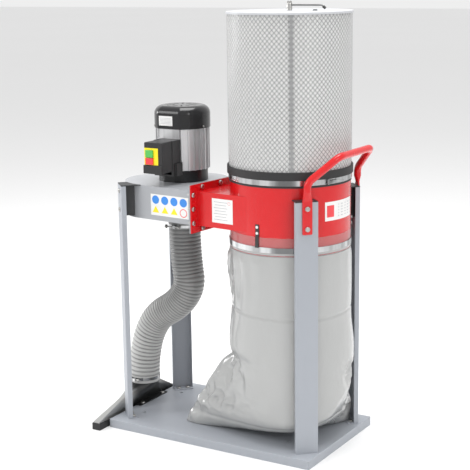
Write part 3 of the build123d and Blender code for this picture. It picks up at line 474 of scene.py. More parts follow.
class Finishes:
    """Every finish on the object, made once each."""

    def __init__(self) -> None:
        """Makes the materials."""
        self.grey = Paint("grey_paint", (0.355, 0.375, 0.41), Gloss.SATIN, drift=0.03).material()
        self.silver = Paint("silver_paint", (0.37, 0.38, 0.40), Gloss.SEMI, drift=0.05).material()
        self.red = Paint("red_paint", (0.62, 0.005, 0.008), Gloss.HIGH, 0.0008, 0.07).material()
        self.red_tube = Paint("red_tube_paint", (0.62, 0.006, 0.009), Gloss.HIGH).material()
        self.black = Paint("black_paint", (0.006, 0.006, 0.007), Gloss.SEMI).material()
        self.cowl = Paint("cowl_paint", (0.006, 0.006, 0.007), Gloss.HIGH).material()
        self.bracket = Paint("bracket_paint", (0.028, 0.029, 0.031), Gloss.SATIN).material()
        self.zinc = Metal("zinc_plate", (0.58, 0.57, 0.55), 0.3, grain_and_sheen_scale=500.0,
                          shade=0.55).material()
        # The strap's broad dark streaks along its length are painted reflection.
        self.strap = Metal("strap_steel", (0.80, 0.81, 0.82), 0.2, ALONG_Z, 16.0,
                           shade=0.16, streak=0.8).material()
        self.galvanised = Metal("galvanised", (0.66, 0.67, 0.68), 0.42).material()
        self.alloy = Metal("motor_alloy", (0.72, 0.72, 0.73), 0.4, ALONG_Z, 70.0,
                           0.00012, 0.7, 0.6, 0.6).material()
        # The nozzle's dark end by the collar is painted reflection.
        self.nozzle = PaintedReflectionSheet("nozzle_sheet", (0.46, 0.46, 0.45), (0.06, 0.061, 0.062),
                                -0.13, -0.05).material()
        self.shaft = Metal("ground_steel", (0.22, 0.22, 0.22), 0.3).material()
        self.lamination = Metal("lamination", (0.20, 0.18, 0.17), 0.5, (1.0, 1.0, 60.0)).material()
        self.net = Metal("net_steel", (0.34, 0.343, 0.345), 0.4, depth=0.00003,
                         metallic=0.5).material()
        # The seam strip's grey is painted shade along the jacket's seam.
        self.lap = Metal("lap_shade", (0.50, 0.505, 0.51), 0.6, metallic=0.0).material()
        self.lid = Paint("lid_paint", (0.50, 0.51, 0.53), Gloss.SATIN, drift=0.03).material()
        self.rubber = Moulded("black_rubber", (0.012, 0.012, 0.013), 0.62, 0.0002, 420.0).material()
        self.plastic = Moulded("switch_plastic", (0.010, 0.010, 0.011), 0.42, 0.00018).material()
        self.fan_plastic = Moulded("fan_plastic", (0.08, 0.08, 0.08), 0.5).material()
        self.strip = Moulded("strip_plastic", (0.02, 0.02, 0.02), 0.5).material()
        self.yellow = Moulded("yellow_film", (0.90, 0.66, 0.0), 0.32, 0.00002, coat=0.3).material()
        self.green = Moulded("green_cap", (0.07, 0.42, 0.07), 0.3, 0.00004, coat=0.4).material()
        self.red_cap = Moulded("red_cap", (0.72, 0.035, 0.04), 0.3, 0.00004, coat=0.4).material()
        self.white = Moulded("white_print", (0.70, 0.70, 0.69), 0.35, 0.00002, coat=0.25).material()
        self.blue = Moulded("blue_print", (0.03, 0.21, 0.62), 0.35, 0.00002).material()
        self.print_grey = Moulded("grey_print", (0.36, 0.37, 0.39), 0.4, 0.00002).material()
        self.print_red = Moulded("red_print", (0.70, 0.05, 0.06), 0.4, 0.00002).material()
        self.paper = FilterPaper("filter_paper", (0.84, 0.84, 0.835)).material()
        self.hose = RibbedSkin("hose_skin", (0.030, 0.031, 0.032), (0.52, 0.52, 0.51)).material()
        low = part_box("separator_drum")[0]
        self.film = Film("bag_film", (0.43, 0.435, 0.43), low.z).material()

    def dress_nodes(self) -> None:
        """Gives every CAD node its finish."""
        wears = {
            self.grey: ["base_plate", "base_stiffener", "leg_front_right", "leg_back_right",
                        "leg_front_left", "leg_back_left"],
            self.silver: ["fan_housing", "housing_floor", "inlet_collar"],
            self.red: ["separator_drum"],
            self.red_tube: ["push_handle"],
            self.black: ["motor_flange"],
            self.cowl: ["fan_cowl"],
            self.bracket: ["leg_spacers"],
            self.zinc: ["leg_foot_bolts", "leg_top_bolts", "duct_bolts", "crank_hub", "crank_nut",
                        "clamp_screws", "nozzle_bolts", "motor_bolts", "cowl_screws",
                        "impeller_bolt"],
            self.strap: ["filter_clamp", "filter_latch_lever", "bag_strap", "bag_latch_lever",
                         "hose_clamps"],
            self.galvanised: ["filter_core", "filter_bottom_ring", "cleaning_paddles", "impeller"],
            self.alloy: ["motor_body", "motor_end_shield"],
            self.nozzle: ["floor_nozzle"],
            self.shaft: ["crank_arm", "paddle_shaft", "motor_shaft", "motor_bearings"],
            self.lamination: ["stator", "rotor"],
            self.net: ["filter_mesh"],
            self.lid: ["filter_lid"],
            self.rubber: ["filter_band", "drum_seal", "duct_gasket", "nozzle_lip"],
            self.plastic: ["terminal_box", "switch_case"],
            self.fan_plastic: ["cooling_fan"],
            self.strip: ["bag_clips", "crank_tip"],
            self.white: ["clip_rivets"],
            self.yellow: ["switch_plate"],
            self.green: ["green_button"],
            self.red_cap: ["red_button"],
            self.paper: ["filter_pleats"],
            self.hose: ["suction_hose"],
            self.film: ["collecting_bag"],
        }
        for material, names in wears.items():
            for name in names:
                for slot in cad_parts[name].material_slots:
                    slot.material = material
        log.info("dressed %d nodes", sum(len(names) for names in wears.values()))


# ---------------------------------------------------------------- mesh helpers
def wrapped_grid(across: int, along: int, surface: Surface) -> bmesh.types.BMesh:
    """Bends a grid of quads onto a surface.

    Args:
        across: Faces along the first direction.
        along: Faces along the second direction.
        surface: Gives the point for two fractions from 0 to 1.

    Returns:
        The bent mesh, with its seam merged and its faces turned one way.
    """
    mesh = bmesh.new()
    bmesh.ops.create_grid(mesh, x_segments=across, y_segments=along, size=0.5)
    bend(mesh, surface)
    return mesh


def bend(mesh: bmesh.types.BMesh, surface: Surface) -> None:
    """Moves a flat unit-square mesh onto a surface and merges the seam.

    Args:
        mesh: The flat mesh, which is changed.
        surface: Gives the point for two fractions from 0 to 1.
    """
    for vert in mesh.verts:
        vert.co = surface(vert.co.x + 0.5, vert.co.y + 0.5)
    bmesh.ops.remove_doubles(mesh, verts=mesh.verts, dist=MERGE_WITHIN)
    bmesh.ops.recalc_face_normals(mesh, faces=mesh.faces)


def smoothstep(low: float, high: float, value: float) -> float:
    """0 below low, 1 above high, and smooth between them."""
    share = min(1.0, max(0.0, (value - low) / (high - low)))
    return share * share * (3.0 - 2.0 * share)


def bell(value: float, middle: float, half: float) -> float:
    """1 at the middle, and fading to nothing beyond its half width on both sides."""
    return math.exp(-(((value - middle) / half) ** 2))


def middle_of(node: str) -> Vector:
    """The middle of a CAD node's box."""
    low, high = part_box(node)
    return (low + high) / 2


@dataclass(frozen=True)
class Placing:
    """What a new piece rides on, and a record slot that nothing reads."""

    body: str = "frame"
    slot: str = "grey_paint"
    replaces: tuple[str, ...] = ()
    smooth: bool = True


def keep(name: str, mesh: bmesh.types.BMesh, material: bpy.types.Material, placing: Placing
         ) -> bpy.types.Object:
    """Turns a finished bmesh into a piece of the object.

    Args:
        name: The piece's name.
        mesh: Its mesh, which is freed.
        material: Its finish.
        placing: What it rides on.

    Returns:
        The new object.
    """
    data = bpy.data.meshes.new(name)
    for face in mesh.faces:
        face.smooth = placing.smooth
    mesh.to_mesh(data)
    mesh.free()
    data.materials.append(material)
    piece = bpy.data.objects.new(name, data)
    bpy.context.scene.collection.objects.link(piece)
    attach(piece, placing.body)
    if placing.replaces:
        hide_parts(*placing.replaces)
    log.info("%s: %d faces", name, len(data.polygons))
    return piece


# ---------------------------------------------------------------- filter cartridge
@dataclass
class Filter:
    """The pleated cartridge and its expanded-metal jacket."""

    finishes: Finishes
    diamonds_round: int = 84
    diamond_rows: int = 30
    strand: float = 0.0009
    pleats: int = 120
    pleat_depth: float = 0.0035
    seam_turn: float = math.radians(-60.0)
    seam_width: float = 0.011
    jacket_in: float = 0.0004
    seam_in: float = 0.0012
    medium_in: float = 0.0022
    fold_round: float = 0.0008
    centre: Vector = field(init=False)
    radius: float = field(init=False)
    bottom: float = field(init=False)
    top: float = field(init=False)

    def __post_init__(self) -> None:
        """Takes the cartridge's size from the frame."""
        low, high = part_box("filter_mesh")
        self.centre = (low + high) / 2
        self.radius = (high.x - low.x) / 2
        self.bottom = low.z
        self.top = high.z

    def on_jacket(self, turn: float, height: float, out: float = 0.0) -> Vector:
        """Finds a point on or near the jacket.

        Args:
            turn: Its angle round the cartridge.
            height: Its height above the floor.
            out: How far it stands out of the jacket.

        Returns:
            The point.
        """
        reach = self.radius + out
        return Vector((self.centre.x + reach * math.cos(turn),
                       self.centre.y + reach * math.sin(turn), height))

    def build(self) -> None:
        """Builds the jacket, its seam and the pleats."""
        self.build_jacket()
        self.build_seam()
        self.build_pleats()

    def build_jacket(self) -> None:
        """Expanded metal: a lattice of diamonds, each opened inside its strands."""
        mesh = bmesh.new()
        bmesh.ops.create_grid(mesh, x_segments=self.diamonds_round,
                              y_segments=self.diamond_rows, size=0.5)
        straight = [edge for edge in mesh.edges if len(edge.link_faces) == 2]
        bmesh.ops.poke(mesh, faces=mesh.faces)
        bmesh.ops.dissolve_edges(mesh, edges=straight, use_verts=False)
        span = self.top - self.bottom
        bend(mesh, lambda u, v: self.on_jacket(
            self.seam_turn + math.tau * u, self.bottom + span * v, -self.jacket_in))
        diamonds = [face for face in mesh.faces if len(face.verts) == 4]
        inner = bmesh.ops.inset_individual(mesh, faces=diamonds, thickness=self.strand,
                                           use_even_offset=True)
        rims = set(inner["faces"])
        holes = [face for face in mesh.faces if face not in rims and len(face.verts) == 4]
        bmesh.ops.delete(mesh, geom=holes, context="FACES")
        keep("filter_jacket", mesh, self.finishes.net,
             Placing(slot="filter_steel", replaces=("filter_mesh",), smooth=False))

    def build_seam(self) -> None:
        """The grey strip behind the jacket where its ends meet; its darkness is painted shade along
        the seam.
        """
        half = self.seam_width / 2 / self.radius

        def lap(u: float, v: float) -> Vector:
            """A strip just behind the strands."""
            return self.on_jacket(self.seam_turn + (2 * u - 1) * half,
                                  self.bottom + (self.top - self.bottom) * v, -self.seam_in)

        keep("jacket_seam", wrapped_grid(6, 4, lap), self.finishes.lap,
             Placing(slot="filter_steel"))

    def build_pleats(self) -> None:
        """The folded medium behind the jacket: a many-pointed star drawn up to its height."""
        outer = self.radius - self.medium_in
        mesh = bmesh.new()
        ring = bmesh.ops.create_circle(mesh, segments=2 * self.pleats, radius=outer)["verts"]
        ring.sort(key=lambda vert: math.atan2(vert.co.y, vert.co.x))
        for vert in ring[::2]:
            vert.co *= 1.0 - self.pleat_depth / outer
        bmesh.ops.translate(mesh, verts=ring, vec=(self.centre.x, self.centre.y, self.bottom))
        grown = bmesh.ops.extrude_edge_only(mesh, edges=mesh.edges)["geom"]
        raised = [item for item in grown if isinstance(item, bmesh.types.BMVert)]
        bmesh.ops.translate(mesh, verts=raised, vec=(0.0, 0.0, self.top - self.bottom))
        tall = (self.top - self.bottom) / 2
        upright = [edge for edge in mesh.edges
                   if abs(edge.verts[0].co.z - edge.verts[1].co.z) > tall]
        bmesh.ops.bevel(mesh, geom=upright, offset=self.fold_round, affect="EDGES", segments=2,
                        profile=0.5, material=-1)
        bmesh.ops.recalc_face_normals(mesh, faces=mesh.faces)
        keep("pleated_medium", mesh, self.finishes.paper,
             Placing(slot="filter_paper", replaces=("filter_pleats",)))


# ---------------------------------------------------------------- suction hose
@dataclass
class Hose:
    """The ribbed suction hose, from the fan's inlet down to the floor nozzle."""

    finishes: Finishes
    rings: int = 450
    pitches: tuple[tuple[float, float], ...] = (
        (0.0, 0.0128), (0.26, 0.0120), (0.38, 0.0086),
        (0.58, 0.0090), (0.74, 0.0140), (1.0, 0.0146))
    segments: int = 56
    rib_depth: float = 0.0040
    end_depth: float = 0.0015
    end_flat: float = 0.02
    end_run: float = 0.05
    radius: float = 0.0508
    cad_radius: float = 0.051
    crest_power: float = 0.55
    inlet_drop: float = 0.106
    bend_drop: float = 0.251
    bend_shift: tuple[float, float] = (0.024, -0.002)
    nozzle_rise: float = 0.195

    def route(self) -> list[Vector]:
        """Places the hose's control points.

        Returns:
            The points, from the inlet to the nozzle.
        """
        low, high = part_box("suction_hose")
        inlet = middle_of("inlet_collar")
        nozzle_x = low.x + self.cad_radius
        shift_x, shift_y = self.bend_shift
        return [
            Vector((inlet.x, inlet.y, high.z)),
            Vector((inlet.x, inlet.y, high.z - self.inlet_drop)),
            Vector((inlet.x + shift_x, inlet.y + shift_y, high.z - self.bend_drop)),
            Vector((nozzle_x, 0.0, low.z + self.nozzle_rise)),
            Vector((nozzle_x, 0.0, low.z)),
        ]

    def pitch(self, share: float) -> float:
        """Finds the distance between ribs.

        Args:
            share: A share of the hose's length, from 0 to 1.

        Returns:
            The distance in metres.
        """
        for (start, first), (end, second) in zip(self.pitches, self.pitches[1:]):
            if share <= end:
                return first + (second - first) * smoothstep(start, end, share)
        return self.pitches[-1][1]

    def smooth_route(self) -> list[Vector]:
        """Draws a smooth curve by the control points.

        Returns:
            Close points along the curve.
        """
        curve = bpy.data.curves.new("hose_route", "CURVE")
        curve.dimensions = "3D"
        curve.resolution_u = 64
        spline = curve.splines.new("NURBS")
        route = self.route()
        spline.points.add(len(route) - 1)
        for point, place in zip(spline.points, route):
            point.co = (*place, 1.0)
        spline.order_u = 3
        spline.use_endpoint_u = True
        holder = bpy.data.objects.new("hose_route", curve)
        bpy.context.scene.collection.objects.link(holder)
        bpy.context.view_layer.update()
        line = bpy.data.meshes.new_from_object(holder)
        fine = [vert.co.copy() for vert in line.vertices]
        bpy.data.objects.remove(holder)
        bpy.data.meshes.remove(line)
        bpy.data.curves.remove(curve)
        return fine

    def centreline(self, count: int) -> list[Vector]:
        """Spaces points evenly along the smooth route.

        Args:
            count: How many spaces to divide the route into.

        Returns:
            The points, one more than count.
        """
        fine = self.smooth_route()
        lengths = [0.0]
        for before, after in zip(fine, fine[1:]):
            lengths.append(lengths[-1] + (after - before).length)
        points = []
        here = 0
        for index in range(count + 1):
            want = lengths[-1] * index / count
            while here < len(fine) - 2 and lengths[here + 1] < want:
                here += 1
            share = (want - lengths[here]) / (lengths[here + 1] - lengths[here])
            points.append(fine[here].lerp(fine[here + 1], share))
        log.info("hose length %.3f m", lengths[-1])
        return points

    def build(self) -> None:
        """Draws a ribbed ring along the route."""
        count = self.rings
        line = self.centreline(count)
        sides = []
        side = Vector((0.0, 1.0, 0.0))
        for index in range(count + 1):
            ahead = (line[min(index + 1, count)] - line[max(index - 1, 0)]).normalized()
            side = (side - ahead * side.dot(ahead)).normalized()
            sides.append((side.copy(), ahead.cross(side)))
        step = (line[1] - line[0]).length
        phases = [0.0]
        for index in range(count):
            phases.append(phases[-1] + step / self.pitch((index + 0.5) / count))

        def crest(index: int) -> float:
            """1 on a rib's crest and 0 in the fold beside it."""
            return abs(math.sin(math.pi * phases[index])) ** self.crest_power

        def skin(u: float, v: float) -> Vector:
            """Finds a point on the hose.

            Args:
                u: A share of the way round.
                v: A share of the way along.

            Returns:
                The point.
            """
            index = round(v * count)
            from_end = min(index, count - index) * step
            depth = self.end_depth + (self.rib_depth - self.end_depth) * smoothstep(
                0.0, self.end_run, from_end - self.end_flat)
            reach = self.radius - depth * (1.0 - crest(index))
            one, two = sides[index]
            turn = math.tau * u
            return line[index] + (one * math.cos(turn) + two * math.sin(turn)) * reach

        mesh = bmesh.new()
        bmesh.ops.create_grid(mesh, x_segments=self.segments, y_segments=count, size=0.5)
        layer = mesh.verts.layers.float.new("rib")
        # The rib value carries the painted shade of the folds and the painted highlight of the
        # crests.
        for vert in mesh.verts:
            vert[layer] = crest(round((vert.co.y + 0.5) * count))
        bend(mesh, skin)
        keep("hose_skin", mesh, self.finishes.hose,
             Placing(slot="hose_plastic", replaces=("suction_hose",)))


# ---------------------------------------------------------------- collecting bag
@dataclass(frozen=True)
class Crush:
    """A place where the film is crushed: where it is, and how far it spreads each way."""

    degrees: float
    height: float
    wide_degrees: float
    tall: float

    def strength(self, turn: float, height: float) -> float:
        """Tells how strongly the film is crushed at a point.

        Args:
            turn: The point's angle round the bag.
            height: Its height above the floor.

        Returns:
            1 in the middle of the place, and less further off.
        """
        away = math.remainder(turn - math.radians(self.degrees), math.tau)
        return (bell(away, 0.0, math.radians(self.wide_degrees))
                * bell(height, self.height, self.tall))


@dataclass
class Bag:
    """The film bag: round at the drum, and flat along its bottom seam."""

    finishes: Finishes
    around: int = 224
    down: int = 200
    over_drum: float = 0.0016
    off_floor: float = 0.0004
    seam_from: float = 0.94
    seam_share: float = 0.96
    foot_turn: float = math.radians(30.15)
    foot_half: float = 0.2648
    foot_wide: float = 0.086
    foot_left: float = 0.100
    foot_back: float = 0.030
    foot_point_power: float = 1.35
    fold_height: float = 0.276
    right_height: float = 0.2
    under_height: float = 0.120
    side_power: float = 2.6
    tip_power: float = 0.78
    waist_out: float = 0.0015
    wave_out: float = 0.0045
    wave_from: float = 0.614
    wave_long: float = 0.30
    sag_out: float = 0.010
    sag_height: float = 0.30
    sag_tall: float = 0.09
    pinch_in: float = 0.010
    pinch_tall: float = 0.018
    left_turn: float = math.radians(211.0)
    right_turn: float = math.radians(31.0)
    crease_height: float = 0.431
    crease_tall: float = 0.0035
    arc_height: float = 0.092
    arc_tall: float = 0.006
    strap_pleats: float = 19.0
    pleat_out: float = 0.0008
    pleat_left_out: float = 0.0022
    broad_scale: float = 9.0
    broad_out: float = 0.0022
    ridge_scale: Stretch = (15.0, 15.0, 10.0)
    ridge_out: float = 0.004
    fine_scale: Stretch = (38.0, 38.0, 30.0)
    fine_shift: float = 7.0
    crush_ridge_out: float = 0.030
    crush_fine_out: float = 0.018
    crease_in: float = 0.0022
    arc_in: float = 0.0030
    crushed: tuple[Crush, ...] = (
        Crush(232.0, 0.235, 16.0, 0.050), Crush(240.0, 0.135, 18.0, 0.030),
        Crush(222.0, 0.100, 14.0, 0.060), Crush(14.0, 0.235, 18.0, 0.035),
        Crush(22.0, 0.105, 16.0, 0.060), Crush(206.0, 0.520, 14.0, 0.060))
    centre: Vector = field(init=False)
    foot: Vector = field(init=False)
    radius: float = field(init=False)
    top: float = field(init=False)
    floor: float = field(init=False)
    drum_bottom: float = field(init=False)

    def __post_init__(self) -> None:
        """Takes the bag's places from the frame."""
        self.centre = middle_of("drum_seal")
        drum_low, drum_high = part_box("separator_drum")
        bag_low, bag_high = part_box("collecting_bag")
        self.radius = drum_high.x - self.centre.x + self.over_drum
        self.top = bag_high.z
        self.floor = bag_low.z + self.off_floor
        self.drum_bottom = drum_low.z
        self.foot = Vector((self.centre.x - self.foot_left, self.foot_back, 0.0))

    def body_radius(self, turn: float, height: float) -> float:
        """Finds the hanging film's radius, which swells and pinches on its way down.

        Args:
            turn: The angle round the bag.
            height: The height above the floor.

        Returns:
            The radius.
        """
        left = max(0.0, math.cos(turn - self.left_turn)) ** 2
        right = max(0.0, math.cos(turn - self.right_turn)) ** 2
        free = 1.0 - smoothstep(self.drum_bottom - 0.03, self.drum_bottom + 0.004, height)
        wave = self.wave_out * math.cos(math.tau * (height - self.wave_from) / self.wave_long)
        sag = self.sag_out * bell(height, self.sag_height, self.sag_tall)
        pinch = self.pinch_in * bell(height, self.fold_height, self.pinch_tall)
        return self.radius + free * (self.waist_out + left * (wave - pinch) + right * sag)

    def on_foot(self, along: float, across: float) -> Vector:
        """A point in the foot's own turned frame."""
        return self.foot + Matrix.Rotation(self.foot_turn, 3, "Z") @ Vector((along, across, 0.0))

    def foot_point(self, turn: float) -> Vector:
        """Finds a point on the lens-shaped outline where the film meets the base.

        Args:
            turn: The angle round the foot.

        Returns:
            The point, at height 0.
        """
        local = turn - self.foot_turn
        rounded = abs(math.sin(local)) ** self.foot_point_power
        wide = math.copysign(rounded, math.sin(local)) * self.foot_wide
        return self.on_foot(self.foot_half * math.cos(local), wide)

    def flare(self, turn: float, height: float) -> float:
        """Tells how far the film has moved from the round body to the flat foot.

        Args:
            turn: The angle round the bag.
            height: The height above the floor.

        Returns:
            0 on the body and 1 on the foot.
        """
        local = turn - self.foot_turn
        tip = abs(math.cos(local)) ** 2.2
        tip_height = self.fold_height if math.cos(local) < 0 else self.right_height
        start = self.under_height + tip * (tip_height - self.under_height)
        if height >= start:
            return 0.0
        share = (start - height) / (start - self.floor)
        power = self.side_power + tip * (self.tip_power - self.side_power)
        return min(1.0, share) ** power

    @staticmethod
    def folds(place: Vector, scale: Stretch, shift: float = 0.0) -> float:
        """Gives a noise with sharp valleys, which read as folds.

        Args:
            place: The point.
            scale: How fine the folds are along X, Y and Z.
            shift: A step along Z, so that two patterns differ.

        Returns:
            0 in a fold, and up to about 1 between folds.
        """
        across, back, up = scale
        return abs(noise.noise(
            Vector((place.x * across, place.y * back, place.z * up + shift))))

    def crumple(self, place: Vector, turn: float) -> float:
        """Tells how far the film stands out of its smooth shape.

        Args:
            place: The point on the smooth shape.
            turn: Its angle round the bag.

        Returns:
            The distance outwards, in metres.
        """
        height = place.z
        hung = 1.0 - smoothstep(self.drum_bottom - 0.10, self.drum_bottom, height)
        low_down = 1.0 - smoothstep(0.1, 0.35, height)
        near_strap = smoothstep(0.36, self.drum_bottom - 0.02, height) * (
            1.0 - smoothstep(self.drum_bottom - 0.03, self.drum_bottom, height))
        off_drum = 1.0 - smoothstep(self.drum_bottom - 0.02, self.drum_bottom + 0.004, height)
        left = max(0.0, math.cos(turn - math.radians(215.0))) ** 3
        broad = noise.noise(place * self.broad_scale) - 0.1
        ridge = 0.5 - self.folds(place, self.ridge_scale)
        fine = 0.4 - self.folds(place, self.fine_scale, self.fine_shift)
        crushed = sum(crush.strength(turn, height) for crush in self.crushed)
        pleat = math.sin(turn * self.strap_pleats + 2.5 * noise.noise(place * 7.0))
        crease = bell(height, self.crease_height + 0.004 * math.sin(turn * 2.0),
                      self.crease_tall)
        arc = bell(height, self.arc_height + 0.02 * math.cos(turn - 1.0), self.arc_tall)
        out = self.broad_out * broad * hung + self.ridge_out * (ridge - 0.36) * low_down
        out += crushed * (self.crush_ridge_out * (ridge - 0.38)
                          + self.crush_fine_out * (fine - 0.26))
        out += near_strap * (self.pleat_out + self.pleat_left_out * left) * pleat
        out -= self.crease_in * crease + self.arc_in * arc
        return out * off_drum

    def skin(self, u: float, v: float) -> Vector:
        """Finds a point on the bag.

        Args:
            u: A share of the way round.
            v: A share of the way down, from the hem to the seam.

        Returns:
            The point.
        """
        turn = math.tau * u
        drop = min(1.0, v / self.seam_from)
        height = self.top + (self.floor - self.top) * drop
        reach = self.body_radius(turn, height)
        outward = Vector((math.cos(turn), math.sin(turn), 0.0))
        body = Vector((self.centre.x + reach * math.cos(turn),
                       self.centre.y + reach * math.sin(turn), height))
        foot = self.foot_point(turn)
        foot.z = height
        place = body.lerp(foot, self.flare(turn, height))
        place += outward * self.crumple(place, turn)
        if v > self.seam_from:
            inward = (v - self.seam_from) / (1.0 - self.seam_from)
            spine = self.on_foot(
                self.foot_half * self.seam_share * math.cos(turn - self.foot_turn), 0.0)
            place = place.lerp(Vector((spine.x, spine.y, self.floor)), inward)
        place.z = max(place.z, self.floor)
        return place

    def build(self) -> None:
        """Builds the film."""
        film = wrapped_grid(self.around, self.down, self.skin)
        keep("bag_film", film, self.finishes.film,
             Placing(slot="bag_film", replaces=("collecting_bag",)))


# ---------------------------------------------------------------- small fittings
@dataclass
class SmallFittings:
    """The hook strips' tails over the film, and the plug in the filter's lid."""

    finishes: Finishes
    clip_turns: tuple[float, ...] = (-93.0, 27.0, 147.0)
    tail_half: float = 0.006
    tail_drop: float = 0.034
    tail_hook: float = 0.003
    tail_thick: float = 0.0012
    tail_out: float = 0.0036
    tail_tuck: float = 0.001
    plug_radius: float = 0.0075
    plug_tall: float = 0.003
    plug_shift: tuple[float, float] = (0.078, 0.012)

    def build(self) -> None:
        """Builds the tails and the plug."""
        self.build_tails()
        self.build_plug()

    def build_tails(self) -> None:
        """A thin strip below each hook strip, hooked outwards at its end."""
        drum = middle_of("drum_seal")
        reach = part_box("separator_drum")[1].x - drum.x + self.tail_out
        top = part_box("bag_clips")[0].z + self.tail_tuck
        for number, degrees in enumerate(self.clip_turns, 1):
            middle = math.radians(degrees)
            half = self.tail_half / reach

            def tail(u: float, v: float) -> Vector:
                """Finds a point on the strip.

                Args:
                    u: A share of its width.
                    v: A share of the way down it.

                Returns:
                    The point.
                """
                turn = middle + (2 * u - 1) * half
                out = reach + self.tail_hook * smoothstep(0.75, 1.0, v)
                return Vector((drum.x + out * math.cos(turn), drum.y + out * math.sin(turn),
                               top - self.tail_drop * v))

            strip = wrapped_grid(4, 10, tail)
            bmesh.ops.solidify(strip, geom=strip.faces, thickness=self.tail_thick)
            keep(f"clip_tail_{number}", strip, self.finishes.strip, Placing(slot="strap_black"))

    def build_plug(self) -> None:
        """The small rubber plug beside the crank."""
        drum = middle_of("drum_seal")
        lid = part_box("filter_lid")[1].z
        right, back = self.plug_shift
        plug = bmesh.new()
        bmesh.ops.create_cone(plug, segments=24, radius1=self.plug_radius,
                              radius2=self.plug_radius * 0.8, depth=self.plug_tall,
                              cap_ends=True)
        bmesh.ops.translate(plug, verts=plug.verts,
                            vec=(drum.x + right, drum.y + back, lid + self.plug_tall / 2))
        keep("lid_plug", plug, self.finishes.rubber, Placing(slot="black_rubber", smooth=False))


# ---------------------------------------------------------------- printed plates
class Mark(Enum):
    """The plain shapes printed on a plate."""

    BAR = "bar"
    DISC = "disc"
    TRIANGLE = "triangle"
    RING = "ring"


@dataclass(frozen=True)
class Print:
    """One printed shape: its place and size as shares of the plate's width and height."""

    mark: Mark
    across: float
    up: float
    wide: float
    tall: float
    ink: bpy.types.Material


@dataclass
class Plate:
    """A thin stuck-on plate with generic printed shapes and no lettering."""

    name: str
    surface: Surface
    outward: Outward
    finishes: Finishes
    prints: list[Print] = field(default_factory=list)
    thickness: float = 0.0004
    print_rise: float = 1.4
    ring_wide: float = 0.09
    round_sides: int = 28

    def at(self, u: float, v: float, rise: float) -> Vector:
        """A point over the plate, given as shares of its width and height."""
        return self.surface(u, v) + self.outward(u) * rise

    def build(self) -> None:
        """Builds the plate and everything printed on it."""
        sheet = wrapped_grid(16, 4, lambda u, v: self.at(u, v, self.thickness))
        bmesh.ops.solidify(sheet, geom=sheet.faces, thickness=self.thickness * 0.7)
        keep(self.name, sheet, self.finishes.white, Placing(slot="rivet_white", smooth=False))
        by_ink: dict[str, list[Print]] = {}
        for item in self.prints:
            by_ink.setdefault(item.ink.name, []).append(item)
        for ink_name, items in by_ink.items():
            mesh = bmesh.new()
            for item in items:
                self.add_mark(mesh, item)
            bmesh.ops.recalc_face_normals(mesh, faces=mesh.faces)
            facing = sum((face.normal.dot(self.outward(0.5)) * face.calc_area()
                          for face in mesh.faces), 0.0)
            if facing < 0:
                bmesh.ops.reverse_faces(mesh, faces=mesh.faces)
            keep(f"{self.name}_{ink_name}", mesh, items[0].ink,
                 Placing(slot="rivet_white", smooth=False))

    def add_mark(self, mesh: bmesh.types.BMesh, item: Print) -> None:
        """Adds one printed shape.

        Args:
            mesh: The mesh that the shape joins.
            item: The shape.
        """
        made = bmesh.new()
        if item.mark is Mark.BAR:
            bmesh.ops.create_grid(made, x_segments=4, y_segments=1, size=0.5)
        else:
            corners = 3 if item.mark is Mark.TRIANGLE else self.round_sides
            bmesh.ops.create_circle(made, segments=corners, radius=0.5, cap_ends=True)
            if item.mark is Mark.RING:
                rim = bmesh.ops.inset_individual(made, faces=made.faces,
                                                 thickness=self.ring_wide)["faces"]
                middle = [face for face in made.faces if face not in set(rim)]
                bmesh.ops.delete(made, geom=middle, context="FACES")
        for vert in made.verts:
            u = item.across + vert.co.x * item.wide
            v = item.up + vert.co.y * item.tall
            vert.co = self.at(u, v, self.thickness * self.print_rise)
        data = bpy.data.meshes.new("mark")
        made.to_mesh(data)
        made.free()
        mesh.from_mesh(data)
        bpy.data.meshes.remove(data)


